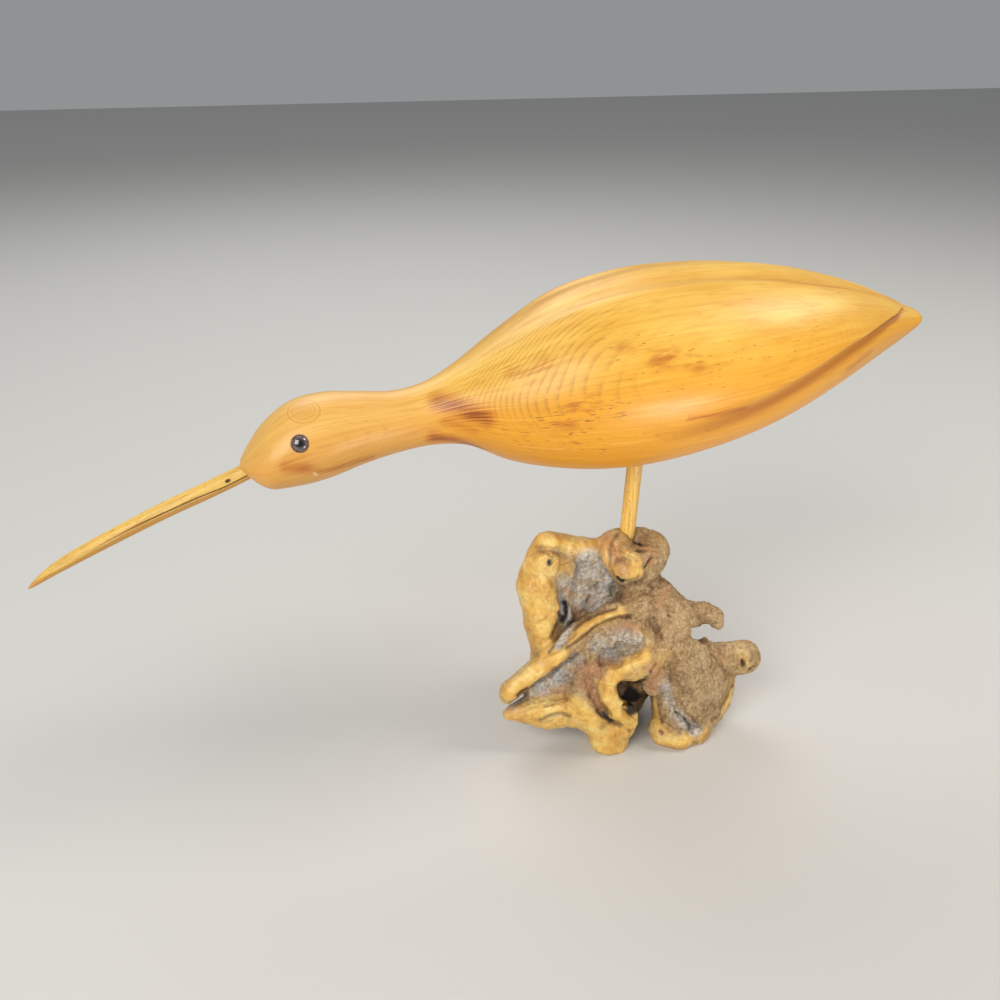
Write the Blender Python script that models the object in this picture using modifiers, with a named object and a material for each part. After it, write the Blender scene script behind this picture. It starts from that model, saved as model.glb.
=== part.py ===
"""A carved long-billed shorebird on a dowel leg, standing in a root burl.

Frame: metres, +Z up. The origin is on the standing surface, under the foot
of the leg. The bird's plane of symmetry is y = 0, its bill points to -X and
its tail to +X. Its left side faces -Y.
"""
import math

import bmesh
import bpy
from mathutils import Matrix, Vector

CM = 0.01
GAP = 0.0003                      # clearance between pieces that touch

# The bird, in stations from the forehead to the tail end, in cm:
# x, height of the back, height of the underside, half width.
BIRD_STATIONS = (
    (-15.10, 14.45, 13.40, 1.00),
    (-14.30, 15.20, 13.05, 1.38),
    (-13.20, 16.02, 13.02, 1.60),
    (-12.00, 16.28, 13.20, 1.56),
    (-10.80, 16.22, 13.55, 1.32),
    (-9.40, 16.12, 13.86, 1.12),
    (-8.20, 16.36, 14.01, 1.20),
    (-7.00, 16.95, 13.95, 1.75),
    (-5.40, 17.98, 13.23, 2.72),
    (-3.40, 19.12, 12.73, 3.55),
    (-0.80, 19.82, 12.53, 4.05),
    (2.00, 20.00, 12.88, 4.10),
    (5.00, 19.80, 13.68, 3.62),
    (7.60, 19.26, 14.77, 2.72),
    (9.80, 18.54, 15.76, 1.62),
    (11.30, 17.84, 16.48, 0.86),
    (12.30, 17.47, 17.08, 0.46),
)
FOREHEAD_ROUND = 1.15             # cm over which the head rounds off
TAIL_ROUND = 0.50                 # cm over which the tail rounds off

# Wing edges, as the angle up from the flank: x in cm, degrees.
UPPER_EDGE = (
    (-6.0, 74.0), (-3.5, 71.5), (1.0, 69.5), (5.0, 65.5),
    (7.2, 62.5), (9.0, 64.5), (11.0, 76.0), (12.3, 70.0),
)
LOWER_EDGE = (
    (-6.0, -14.0), (1.0, -12.5), (3.3, -9.0), (5.5, -0.5), (7.2, 7.5),
    (8.7, 15.0), (9.7, 24.0), (10.4, 35.5), (11.0, 56.0), (12.3, 40.0),
)
WING_TIP_X = 11.02                # cm, where the folded wings end
UPPER_FADE = (-5.0, -2.6)         # cm, the upper edge rises out of the shoulder
LOWER_FADE = (-0.6, 4.6)          # cm, the lower edge rises out of the flank
EDGE_NARROWS = (1.0, 9.5)         # cm, the step goes from soft to crisp over this
WING_RAISE = 0.055                # cm, wing surface above the plain body
COVE_DEPTH = 0.10                 # cm, hollow beside a wing edge
COVE_SPREAD = 13.0                # degrees over which that hollow runs out
EDGE_SOFT = 4.5                   # degrees, half the carved step at the shoulder
EDGE_CRISP = 1.4                  # degrees, half the carved step at the wing tip

BELLY_COLUMNS = 9
WING_COLUMNS = 8
BACK_COLUMNS = 3
BIRD_RINGS = 36
RING_EASE = 0.70                  # how much closer the rings lie at both ends
NOSE_RINGS = (0.02, 0.12)         # cm, extra rings behind the forehead
TAIL_RINGS = (0.10, 0.01)         # cm, extra rings ahead of the tail end
TIP_RINGS = (-0.001, 0.07)        # cm, rings at the wing tip, before and after it
TIP_CLEAR = 0.16                  # cm, no other ring lies this near the wing tip

# The bill, along its axis from the face of the head, in cm: distance, rise of
# the centre line, half thickness, half width.
BILL_STATIONS = (
    (-1.20, 0.000, 0.300, 0.300),
    (0.00, 0.030, 0.318, 0.318),
    (1.50, 0.090, 0.322, 0.318),
    (3.00, 0.175, 0.312, 0.312),
    (4.80, 0.210, 0.292, 0.285),
    (6.00, 0.212, 0.275, 0.255),
    (6.80, 0.200, 0.258, 0.225),
    (7.50, 0.160, 0.212, 0.180),
    (8.10, 0.085, 0.145, 0.125),
    (8.45, 0.020, 0.085, 0.080),
    (8.64, -0.025, 0.030, 0.030),
)
BILL_FACE = Vector((-14.90, 0.0, 13.62)) * CM
BILL_SLOPE = math.radians(24.0)
BILL_SIDES = 14
BILL_POINT = (8.68, -0.035)       # cm along the bill and rise, where it ends
BILL_BORE_RADIUS = 0.318          # cm, before the clearance is added
BILL_BORE_MOUTH = (1.50, 0.075)   # cm along the bill and rise, outside the head

# The eyes, domed glass.
EYE_SPOT = Vector((-13.03, 1.49, 15.13)) * CM   # on the far side, mirrored
EYE_AXIS = Vector((-0.08, 0.93, 0.36)).normalized()
EYE_RADIUS = 0.0028
EYE_BULGE = 0.0016
EYE_SEAT = 0.0003                 # the eye's middle sits this deep
SOCKET_DEPTH = 0.0024
SOCKET_CLEAR = 0.004              # the drill comes from this far outside

# The leg, a round dowel.
LEG_RADIUS = 0.003175
LEG_LEAN = math.radians(2.6)      # the top leans to the tail
LEG_CROSSING = 0.09               # height at which the leg's middle is over x = 0
LEG_BOTTOM = 0.0765
LEG_TOP = 0.1360
BORE_MOUTH = 0.110                # height between the belly and the root

# The root, in runs of wood, each a chain of balls: x, y, z and radius in cm.
ROOT_RUNS = {
    "knob": (
        (-0.46, -0.05, 8.24, 0.94), (-0.10, -0.55, 7.95, 1.00), (0.35, -0.55, 7.95, 1.05),
        (0.92, -0.25, 8.12, 0.88), (0.35, 0.30, 8.10, 0.95), (-0.46, -0.05, 8.24, 0.94),
    ),
    "neck": (
        (0.30, -0.35, 7.30, 0.90), (0.36, -0.40, 6.75, 0.94), (0.70, -0.45, 5.95, 1.25),
        (0.70, -0.20, 4.60, 2.10),
    ),
    "heart": (
        (0.70, 0.30, 4.30, 2.10), (0.40, 0.50, 2.40, 1.90), (0.20, 0.50, 0.60, 1.35),
    ),
    "left_rim": (
        (-0.90, 0.20, 8.12, 0.60), (-2.20, 0.40, 8.22, 0.68), (-3.28, 0.40, 8.46, 0.80),
        (-3.70, 0.30, 7.60, 0.80), (-3.80, 0.10, 6.95, 0.92), (-3.60, -0.05, 6.20, 0.90),
        (-3.54, -0.10, 5.40, 0.90), (-3.44, -0.30, 4.60, 0.82), (-3.40, -0.45, 3.70, 0.66),
    ),
    "left_slab": (
        (-2.60, 0.45, 8.00, 0.80), (-2.95, 0.25, 7.10, 0.86), (-2.95, 0.10, 6.10, 0.86),
        (-2.95, 0.00, 5.20, 0.84), (-2.75, -0.25, 4.40, 0.74),
    ),
    "hollow_wall": (
        (-0.80, 0.40, 7.10, 0.90), (-1.70, 0.55, 7.40, 0.80), (-2.00, 0.40, 6.20, 0.90),
        (-1.90, 0.20, 5.20, 0.90), (-1.00, 0.10, 5.90, 1.00),
    ),
    "upper_ridge": (
        (0.20, -1.35, 6.20, 0.66), (-0.60, -1.45, 6.05, 0.52), (-1.35, -1.40, 5.75, 0.46),
        (-2.40, -1.30, 5.18, 0.48), (-3.40, -1.28, 4.45, 0.50), (-4.45, -1.25, 3.64, 0.48),
        (-5.42, -1.22, 2.92, 0.42), (-5.52, -1.22, 2.70, 0.30),
    ),
    "ridge_web": (
        (-0.60, -0.95, 5.50, 0.95), (-1.70, -0.85, 4.90, 0.88), (-2.70, -0.90, 4.20, 0.80),
        (-3.60, -1.00, 3.50, 0.62), (-4.20, -1.05, 3.00, 0.50),
    ),
    "oval_rim": (
        (-2.30, -1.50, 4.50, 0.38), (-1.95, -1.65, 5.05, 0.36), (-1.30, -1.80, 5.50, 0.36),
        (-0.60, -2.00, 5.72, 0.40), (0.00, -2.10, 5.40, 0.50), (0.20, -2.15, 5.00, 0.55),
    ),
    "oval_floor": (
        (0.00, -1.60, 5.00, 0.95), (-0.80, -1.45, 4.80, 0.90), (-1.60, -1.25, 4.30, 0.90),
        (-2.20, -1.20, 3.70, 0.85),
    ),
    "arch": (
        (0.95, -2.00, 4.30, 0.80), (0.45, -2.25, 4.36, 0.72), (-0.15, -2.35, 4.36, 0.84),
        (-0.85, -2.30, 4.05, 0.66), (-1.32, -2.30, 3.50, 0.56), (-1.34, -2.40, 2.80, 0.54),
        (-1.05, -2.55, 2.20, 0.54), (-0.58, -2.58, 1.72, 0.50), (-0.72, -2.45, 1.10, 0.58),
    ),
    "left_brow": (
        (-0.90, -1.95, 4.20, 0.50), (-1.70, -1.85, 3.95, 0.55), (-2.30, -1.75, 3.40, 0.62),
        (-2.40, -1.75, 2.60, 0.80), (-1.90, -1.85, 1.90, 0.90),
    ),
    "lower_prong": (
        (-5.38, -1.30, 1.86, 0.28), (-4.60, -1.30, 1.84, 0.58), (-3.75, -1.35, 1.70, 0.80),
        (-2.80, -1.50, 1.85, 0.92), (-1.90, -1.80, 1.60, 0.92), (-1.30, -2.10, 0.95, 0.90),
        (-1.18, -2.15, 0.35, 0.88),
    ),
    "prong_web": (
        (-4.20, -1.10, 2.60, 0.50), (-3.30, -1.10, 2.70, 0.75), (-2.40, -1.10, 2.80, 1.00),
    ),
    "right_fan": (
        (1.10, -0.90, 6.00, 1.00), (1.55, -1.30, 5.20, 1.20), (1.90, -1.65, 3.90, 1.36),
        (2.20, -1.85, 2.40, 1.40), (2.10, -2.10, 1.20, 1.25),
    ),
    "fan_right": (
        (2.20, -1.30, 4.00, 0.90), (2.90, -1.58, 3.15, 1.10), (3.20, -1.72, 2.20, 1.14),
        (3.10, -2.00, 1.20, 0.95), (2.60, -2.25, 0.70, 0.85),
    ),
    "hole_lump": (
        (0.60, -2.20, 3.60, 0.80), (0.75, -2.40, 3.05, 0.64),
    ),
    "right_foot": (
        (1.30, -2.50, 0.50, 0.76), (1.80, -2.55, 0.40, 0.92), (2.55, -2.60, 0.45, 0.82),
    ),
    "right_edge": (
        (3.30, -1.60, 2.90, 0.90), (3.92, -1.65, 2.25, 0.84), (4.10, -1.75, 1.65, 0.66),
        (4.05, -1.85, 1.15, 0.60), (3.78, -1.95, 0.66, 0.58), (3.25, -2.15, 0.35, 0.56),
    ),
    "upper_stub": (
        (1.90, -1.05, 5.46, 0.68), (2.50, -1.15, 5.34, 0.55), (3.15, -1.30, 5.38, 0.46),
        (3.66, -1.42, 5.20, 0.38), (3.78, -1.52, 4.80, 0.28),
    ),
    "lower_stub": (
        (3.00, -1.45, 3.00, 0.85), (3.80, -1.60, 3.00, 0.74), (4.55, -1.80, 3.10, 0.74),
        (4.98, -1.92, 3.16, 0.74),
    ),
    "shoulder_bump": (
        (1.30, -1.00, 6.60, 0.42), (1.50, -1.10, 6.45, 0.36),
    ),
    "back_ridge": (
        (0.10, 0.40, 7.20, 0.85), (-0.25, 1.10, 6.00, 1.05), (0.15, 1.75, 4.60, 1.25),
        (0.45, 2.25, 3.10, 1.20), (0.25, 2.55, 1.70, 1.00),
    ),
    "left_back": (
        (-1.50, 1.10, 5.20, 1.10), (-1.95, 1.60, 3.90, 1.12), (-2.40, 2.10, 2.40, 1.00),
        (-2.40, 2.45, 1.20, 0.90), (-2.55, 2.60, 0.45, 0.85),
    ),
    "right_back": (
        (1.60, 1.10, 4.60, 1.40), (2.40, 1.70, 3.20, 1.25), (2.75, 2.20, 1.80, 1.05),
        (3.10, 2.45, 0.50, 0.95),
    ),
    "back_webs": (
        (-1.40, 1.60, 2.60, 1.15), (-0.40, 2.00, 2.20, 1.10), (1.50, 1.90, 2.50, 1.20),
    ),
    "back_stub": (
        (-1.90, 2.20, 3.90, 0.80), (-2.30, 2.85, 3.55, 0.56), (-2.50, 3.20, 3.20, 0.44),
    ),
    "back_knot": (
        (1.60, 2.10, 4.60, 0.85), (2.20, 2.60, 4.75, 0.62), (2.45, 2.95, 4.70, 0.50),
    ),
}
# Hollows, cut the same way.
ROOT_HOLLOWS = {
    "oval_hollow": (
        (-0.55, -2.75, 5.05, 0.45), (-1.10, -2.55, 4.85, 0.50), (-1.70, -2.30, 4.45, 0.42),
    ),
    "centre_hole": (
        (-0.50, -3.10, 3.10, 0.34), (-0.40, -2.20, 3.00, 0.52), (-0.20, -1.40, 2.60, 0.60),
    ),
    "foot_gap": (
        (0.12, -3.40, 2.20, 0.26), (0.15, -2.20, 2.00, 0.45), (0.22, -1.60, 1.00, 0.55),
        (0.22, -3.00, 0.90, 0.38), (0.14, -2.70, -0.30, 0.55),
    ),
    "stub_notch": (
        (2.30, -2.30, 5.14, 0.26), (2.82, -1.40, 4.54, 0.38), (3.34, -0.50, 3.92, 0.48),
        (4.00, 0.60, 3.20, 0.60),
    ),
    "stub_gap": (
        (2.78, -1.40, 4.58, 0.26), (3.20, -1.50, 4.42, 0.33), (3.75, -1.60, 4.18, 0.40),
        (4.30, -1.40, 4.10, 0.40),
    ),
    "prong_under": (
        (-2.90, -2.40, 1.00, 0.34), (-2.80, -1.00, 0.72, 0.48),
    ),
    "stub_end_pit": (
        (5.20, -2.85, 3.05, 0.20), (5.10, -2.55, 3.02, 0.18),
    ),
    "back_hollow": (
        (-0.95, 3.05, 4.10, 0.50), (-1.00, 2.65, 3.30, 0.55), (-1.15, 2.90, 2.40, 0.45),
    ),
    "back_cleft": (
        (1.45, 3.30, 1.60, 0.40), (1.40, 2.70, 1.30, 0.45), (1.35, 2.60, 0.30, 0.50),
    ),
}
ROOT_VOXEL = 0.0013
ROOT_SMOOTHING = 5
ROOT_WEAR = 0.5                   # how far each smoothing pass goes
ROOT_TRIANGLES = 4700
CHAIN_SPACING = 0.30              # of the radius, between balls of a run
BLOCK_SIZE = 0.3                  # the block that saws the root's foot level

SEGMENTS_ROUND = 28
CARVED_ANGLE = 40.0               # degrees, sharper edges stay crisp
ROOT_ANGLE = 55.0


def smoothstep(low, high, value):
    t = min(max((value - low) / (high - low), 0.0), 1.0)
    return t * t * (3.0 - 2.0 * t)


def curve_through(points, x):
    """Height at x of a smooth curve through (x, y) points."""
    xs = [p[0] for p in points]
    ys = [p[1] for p in points]
    if x <= xs[0]:
        return ys[0]
    if x >= xs[-1]:
        return ys[-1]
    i = max(k for k in range(len(xs) - 1) if xs[k] <= x)

    def slope(k):
        if k == 0:
            return (ys[1] - ys[0]) / (xs[1] - xs[0])
        if k == len(xs) - 1:
            return (ys[-1] - ys[-2]) / (xs[-1] - xs[-2])
        before = xs[k] - xs[k - 1]
        after = xs[k + 1] - xs[k]
        fall = (ys[k] - ys[k - 1]) / before
        rise = (ys[k + 1] - ys[k]) / after
        return (fall * after + rise * before) / (before + after)

    run = xs[i + 1] - xs[i]
    t = (x - xs[i]) / run
    return (ys[i] * (1 + 2 * t) * (1 - t) ** 2 + slope(i) * run * t * (1 - t) ** 2
            + ys[i + 1] * t * t * (3 - 2 * t) + slope(i + 1) * run * t * t * (t - 1))


def station(table, column, x):
    return curve_through([(row[0], row[column]) for row in table], x)


def end_rounding(x):
    """Factor that closes the head and the tail with round ends."""
    nose = (BIRD_STATIONS[0][0] + FOREHEAD_ROUND - x) / FOREHEAD_ROUND
    tail = (x - BIRD_STATIONS[-1][0] + TAIL_ROUND) / TAIL_ROUND
    nose = min(max(nose, 0.0), 1.0)
    tail = min(max(tail, 0.0), 1.0)
    return math.sqrt(1.0 - nose * nose) * math.sqrt(1.0 - tail * tail)


def wing_relief(x, angle, low, up):
    """Carved height over the plain body, in cm, at an angle on the flank."""
    if x > WING_TIP_X:
        return 0.0
    upper = smoothstep(*UPPER_FADE, x)
    lower = smoothstep(*LOWER_FADE, x)
    if angle > up:
        return -COVE_DEPTH * upper * math.exp(-((angle - up) / COVE_SPREAD) ** 2)
    if angle < low:
        return -COVE_DEPTH * lower * math.exp(-((low - angle) / COVE_SPREAD) ** 2)
    share = (angle - low) / (up - low)
    return WING_RAISE * (lower + (upper - lower) * share)


def half_angles(x, low, up):
    """Ring angles from the keel up one side to the spine."""
    e = EDGE_SOFT + (EDGE_CRISP - EDGE_SOFT) * smoothstep(*EDGE_NARROWS, x)
    belly = [-90.0 + (low - e + 90.0) * k / BELLY_COLUMNS for k in range(BELLY_COLUMNS + 1)]
    wing = [low + e + (up - low - 2 * e) * k / WING_COLUMNS for k in range(WING_COLUMNS + 1)]
    back = [up + e + (90.0 - up - e) * k / BACK_COLUMNS for k in range(BACK_COLUMNS + 1)]
    return belly + wing + back


def bird_ring(x):
    """One cross-section of the bird, as points in metres."""
    closing = end_rounding(x)
    top = station(BIRD_STATIONS, 1, x)
    bottom = station(BIRD_STATIONS, 2, x)
    width = station(BIRD_STATIONS, 3, x) * closing
    height = 0.5 * (top - bottom) * closing
    middle = 0.5 * (top + bottom)
    low = curve_through(LOWER_EDGE, x)
    up = curve_through(UPPER_EDGE, x)
    half = []
    for angle in half_angles(x, low, up):
        a = math.radians(angle)
        y = width * math.cos(a)
        z = height * math.sin(a)
        normal = Vector((math.cos(a) * height, math.sin(a) * width)).normalized()
        lift = wing_relief(x, angle, low, up)
        half.append((y + normal.x * lift, z + normal.y * lift))
    half[0] = (0.0, half[0][1])
    half[-1] = (0.0, half[-1][1])
    near = [Vector((x, -y, middle + z)) * CM for y, z in half]
    far = [Vector((x, y, middle + z)) * CM for y, z in reversed(half[1:-1])]
    return near + far


def bird_ring_places():
    """Ring positions, closer together at both ends and at the wing tip."""
    first = BIRD_STATIONS[0][0]
    last = BIRD_STATIONS[-1][0]
    places = []
    for k in range(1, BIRD_RINGS):
        t = k / BIRD_RINGS
        eased = (1.0 - RING_EASE) * t + RING_EASE * (0.5 - 0.5 * math.cos(math.pi * t))
        x = first + (last - first) * eased
        if abs(x - WING_TIP_X) > TIP_CLEAR:
            places.append(x)
    places += [first + offset for offset in NOSE_RINGS]
    places += [last - offset for offset in TAIL_RINGS]
    places += [WING_TIP_X + offset for offset in TIP_RINGS]
    return sorted(places)


def loft(name, rings, start, end):
    """A closed body through rings of equal length, with a point at each end."""
    bm = bmesh.new()
    loops = [[bm.verts.new(p) for p in ring] for ring in rings]
    count = len(rings[0])
    for a, b in zip(loops[:-1], loops[1:]):
        for k in range(count):
            j = (k + 1) % count
            bm.faces.new((a[k], a[j], b[j], b[k]))
    first = bm.verts.new(start)
    last = bm.verts.new(end)
    for k in range(count):
        j = (k + 1) % count
        bm.faces.new((first, loops[0][j], loops[0][k]))
        bm.faces.new((last, loops[-1][k], loops[-1][j]))
    bmesh.ops.recalc_face_normals(bm, faces=bm.faces)
    return mesh_object(name, bm)


def mesh_object(name, bm):
    mesh = bpy.data.meshes.new(name)
    bm.to_mesh(mesh)
    bm.free()
    obj = bpy.data.objects.new(name, mesh)
    return obj


def add_cylinder(bm, radius, start, end, sides=SEGMENTS_ROUND):
    axis = end - start
    turn = axis.to_track_quat("Z", "Y").to_matrix().to_4x4()
    place = Matrix.Translation((start + end) / 2) @ turn
    bmesh.ops.create_cone(bm, cap_ends=True, segments=sides, radius1=radius, radius2=radius,
                          depth=axis.length, matrix=place)


def cylinder(name, radius, start, end, sides=SEGMENTS_ROUND):
    bm = bmesh.new()
    add_cylinder(bm, radius, start, end, sides)
    return mesh_object(name, bm)


def chain(name, runs):
    """Balls strung along each run of wood, closer than they are wide."""
    bm = bmesh.new()
    for run in runs.values():
        for a, b in zip(run[:-1], run[1:]):
            start = Vector(a[:3]) * CM
            end = Vector(b[:3]) * CM
            small = min(a[3], b[3]) * CM
            steps = max(1, math.ceil((end - start).length / (CHAIN_SPACING * small)))
            for k in range(steps + 1):
                t = k / steps
                radius = (a[3] + (b[3] - a[3]) * t) * CM
                place = Matrix.Translation(start.lerp(end, t))
                bmesh.ops.create_icosphere(bm, subdivisions=2, radius=radius, matrix=place)
    return mesh_object(name, bm)


def material(name, hex_colour, roughness, metallic=0.0, transmission=0.0):
    def linear(channel):
        c = channel / 255.0
        return c / 12.92 if c <= 0.04045 else ((c + 0.055) / 1.055) ** 2.4
    mat = bpy.data.materials.new(name)
    mat.use_nodes = True
    shader = mat.node_tree.nodes["Principled BSDF"]
    rgb = [linear(int(hex_colour[k:k + 2], 16)) for k in (0, 2, 4)]
    shader.inputs["Base Color"].default_value = (*rgb, 1.0)
    shader.inputs["Roughness"].default_value = roughness
    shader.inputs["Metallic"].default_value = metallic
    shader.inputs["Transmission Weight"].default_value = transmission
    return mat


def cut(obj, cutter, name):
    modifier = obj.modifiers.new(name, "BOOLEAN")
    modifier.operation = "DIFFERENCE"
    modifier.solver = "EXACT"
    modifier.object = cutter


def bake(obj):
    """Replace the object's mesh with what its modifiers make of it."""
    bpy.context.view_layer.update()
    graph = bpy.context.evaluated_depsgraph_get()
    done = bpy.data.meshes.new_from_object(obj.evaluated_get(graph))
    obj.modifiers.clear()
    old = obj.data
    obj.data = done
    bpy.data.meshes.remove(old)


def keep_largest_body(obj):
    """Drop loose crumbs left by a cut."""
    bm = bmesh.new()
    bm.from_mesh(obj.data)
    left = set(bm.verts)
    bodies = []
    while left:
        seed = left.pop()
        body = {seed}
        front = [seed]
        while front:
            vert = front.pop()
            for edge in vert.link_edges:
                other = edge.other_vert(vert)
                if other in left:
                    left.discard(other)
                    body.add(other)
                    front.append(other)
        bodies.append(body)
    bodies.sort(key=len)
    loose = [v for body in bodies[:-1] for v in body]
    bmesh.ops.delete(bm, geom=loose, context="VERTS")
    bm.to_mesh(obj.data)
    bm.free()


def remesh(obj, size):
    modifier = obj.modifiers.new("remesh", "REMESH")
    modifier.mode = "VOXEL"
    modifier.voxel_size = size
    modifier.adaptivity = 0.0


def finish(obj, mat, angle=CARVED_ANGLE):
    obj.data.materials.clear()
    obj.data.materials.append(mat)
    obj.data.shade_smooth()
    obj.data.set_sharp_from_angle(angle=math.radians(angle))


def main():
    for obj in list(bpy.data.objects):
        bpy.data.objects.remove(obj)
    parts = bpy.data.collections.new("shorebird_decoy")
    tools = bpy.data.collections.new("cutters")
    bpy.context.scene.collection.children.link(parts)
    bpy.context.scene.collection.children.link(tools)

    def cutter(obj):
        tools.objects.link(obj)
        obj.hide_render = True
        obj.display_type = "WIRE"
        return obj

    # Bird: one carved block, from the forehead to the tail.
    places = bird_ring_places()
    nose_x = BIRD_STATIONS[0][0]
    nose_z = 0.5 * (BIRD_STATIONS[0][1] + BIRD_STATIONS[0][2])
    tail_x = BIRD_STATIONS[-1][0]
    tail_z = 0.5 * (BIRD_STATIONS[-1][1] + BIRD_STATIONS[-1][2])
    bird = loft("bird_body", [bird_ring(x) for x in places],
                Vector((nose_x, 0.0, nose_z)) * CM, Vector((tail_x, 0.0, tail_z)) * CM)
    parts.objects.link(bird)

    # Bill: a dowel-like stick whittled to a point, let into the head.
    along = Vector((-math.cos(BILL_SLOPE), 0.0, -math.sin(BILL_SLOPE)))
    rise = Vector((-math.sin(BILL_SLOPE), 0.0, math.cos(BILL_SLOPE)))
    side = Vector((0.0, 1.0, 0.0))

    def bill_point(s, across, up):
        return BILL_FACE + (along * s + side * across + rise * up) * CM

    rings = []
    for s, centre, thick, wide in BILL_STATIONS:
        ring = []
        for k in range(BILL_SIDES):
            a = 2.0 * math.pi * (k + 0.5) / BILL_SIDES
            ring.append(bill_point(s, wide * math.cos(a), centre + thick * math.sin(a)))
        rings.append(ring)
    root_end = bill_point(BILL_STATIONS[0][0], 0.0, BILL_STATIONS[0][1])
    tip = bill_point(BILL_POINT[0], 0.0, BILL_POINT[1])
    bill = loft("bill", rings, root_end, tip)
    parts.objects.link(bill)
    bore_end = bill_point(BILL_STATIONS[0][0], 0.0, 0.0) - along * GAP
    bore_mouth = bill_point(BILL_BORE_MOUTH[0], 0.0, BILL_BORE_MOUTH[1])
    bill_bore = cutter(cylinder("bill_bore", BILL_BORE_RADIUS * CM + GAP, bore_end, bore_mouth))
    cut(bird, bill_bore, "bill_bore")

    # Eyes: domed glass in drilled sockets, one on each side.
    for label, hand in (("eye_left", -1.0), ("eye_right", 1.0)):
        spot = Vector((EYE_SPOT.x, EYE_SPOT.y * hand, EYE_SPOT.z))
        axis = Vector((EYE_AXIS.x, EYE_AXIS.y * hand, EYE_AXIS.z))
        turn = axis.to_track_quat("Z", "X").to_matrix().to_4x4()
        bm = bmesh.new()
        flat = Matrix.Diagonal((1.0, 1.0, EYE_BULGE / EYE_RADIUS, 1.0))
        bmesh.ops.create_uvsphere(bm, u_segments=16, v_segments=8, radius=EYE_RADIUS, matrix=turn @ flat)
        eye = mesh_object(label, bm)
        eye.location = spot - axis * EYE_SEAT
        parts.objects.link(eye)
        socket = cutter(cylinder(label + "_socket", EYE_RADIUS + GAP,
                                 spot - axis * SOCKET_DEPTH, spot + axis * SOCKET_CLEAR))
        cut(bird, socket, label)

    # Leg: one dowel through a blind hole in the belly and one in the root.
    lean = Vector((math.sin(LEG_LEAN), 0.0, math.cos(LEG_LEAN)))

    def on_leg(height):
        return Vector((lean.x / lean.z * (height - LEG_CROSSING), 0.0, height))

    leg = cylinder("leg_dowel", LEG_RADIUS, on_leg(LEG_BOTTOM), on_leg(LEG_TOP))
    parts.objects.link(leg)
    belly_bore = cutter(cylinder("belly_bore", LEG_RADIUS + GAP,
                                 on_leg(BORE_MOUTH), on_leg(LEG_TOP + GAP)))
    cut(bird, belly_bore, "leg_bore")
    bake(bird)

    # Root burl: runs of wood grown together, then hollowed, then worn round.
    root = chain("root_burl", ROOT_RUNS)
    parts.objects.link(root)
    remesh(root, ROOT_VOXEL)
    bake(root)
    hollows = cutter(chain("root_hollows", ROOT_HOLLOWS))
    remesh(hollows, ROOT_VOXEL)
    bake(hollows)
    cut(root, hollows, "hollows")
    bake(root)
    keep_largest_body(root)
    remesh(root, ROOT_VOXEL)
    worn = root.modifiers.new("worn", "SMOOTH")
    worn.factor = ROOT_WEAR
    worn.iterations = ROOT_SMOOTHING
    bake(root)
    keep_largest_body(root)
    thin = root.modifiers.new("coarse", "DECIMATE")
    thin.ratio = ROOT_TRIANGLES / sum(len(p.vertices) - 2 for p in root.data.polygons)
    bake(root)

    bm = bmesh.new()
    bmesh.ops.create_cube(bm, size=BLOCK_SIZE,
                          matrix=Matrix.Translation((0.0, 0.0, -0.5 * BLOCK_SIZE)))
    table_cut = cutter(mesh_object("level_cut", bm))
    cut(root, table_cut, "level_cut")
    root_bore = cutter(cylinder("root_bore", LEG_RADIUS + GAP,
                                on_leg(LEG_BOTTOM - GAP), on_leg(BORE_MOUTH)))
    cut(root, root_bore, "root_bore")
    bake(root)
    keep_largest_body(root)

    finish(bird, material("body_wood", "D9962F", 0.34))
    finish(bill, material("bill_wood", "DDAF55", 0.42))
    finish(leg, material("leg_wood", "CFA052", 0.50))
    finish(root, material("root_wood", "A9824A", 0.70), ROOT_ANGLE)
    glass = material("eye_glass", "3A3236", 0.08)
    for label in ("eye_left", "eye_right"):
        finish(bpy.data.objects[label], glass)


main()
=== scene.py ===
"""Looks of a carved long-billed shorebird on a dowel leg, standing in a root burl.

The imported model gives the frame: metres, +Z up, the origin on the standing
surface under the foot of the leg, the bill to -X, the tail to +X and the
bird's left side to -Y. The stations, runs and strokes below are in
centimetres, and all other lengths are in metres unless a comment says so.
"""
import math

import bmesh
import bpy
import numpy as np
from mathutils import Matrix, Vector, noise
from mathutils.bvhtree import BVHTree


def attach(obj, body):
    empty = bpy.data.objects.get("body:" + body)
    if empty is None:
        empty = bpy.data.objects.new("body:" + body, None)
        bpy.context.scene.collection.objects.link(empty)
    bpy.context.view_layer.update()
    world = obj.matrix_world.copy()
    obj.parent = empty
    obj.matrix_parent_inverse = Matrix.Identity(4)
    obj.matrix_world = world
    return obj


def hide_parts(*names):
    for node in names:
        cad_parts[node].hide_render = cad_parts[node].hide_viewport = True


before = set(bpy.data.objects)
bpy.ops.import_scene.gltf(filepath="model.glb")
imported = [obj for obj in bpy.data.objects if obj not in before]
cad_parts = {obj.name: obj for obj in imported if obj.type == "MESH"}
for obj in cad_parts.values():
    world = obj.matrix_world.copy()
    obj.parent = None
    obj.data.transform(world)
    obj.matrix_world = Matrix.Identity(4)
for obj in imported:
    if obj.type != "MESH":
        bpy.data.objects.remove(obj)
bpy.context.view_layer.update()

CM = 0.01
PER_MM = 1000.0                   # millimetres in a metre, to scale a pattern by
GAP = 0.0003                      # clearance between pieces that touch

# The camera that took the photograph.
PHOTO_PIXELS = 1000.0
FOCAL_PIXELS = 1014.0
SENSOR = 36.0
CAMERA_PLACE = Vector((-0.15255, -0.34117, 0.288))
CAMERA_HEADING = math.radians(-16.0)
CAMERA_PITCH = math.radians(90.0 - 26.3)
CAMERA_ROLL = math.radians(0.15)

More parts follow.
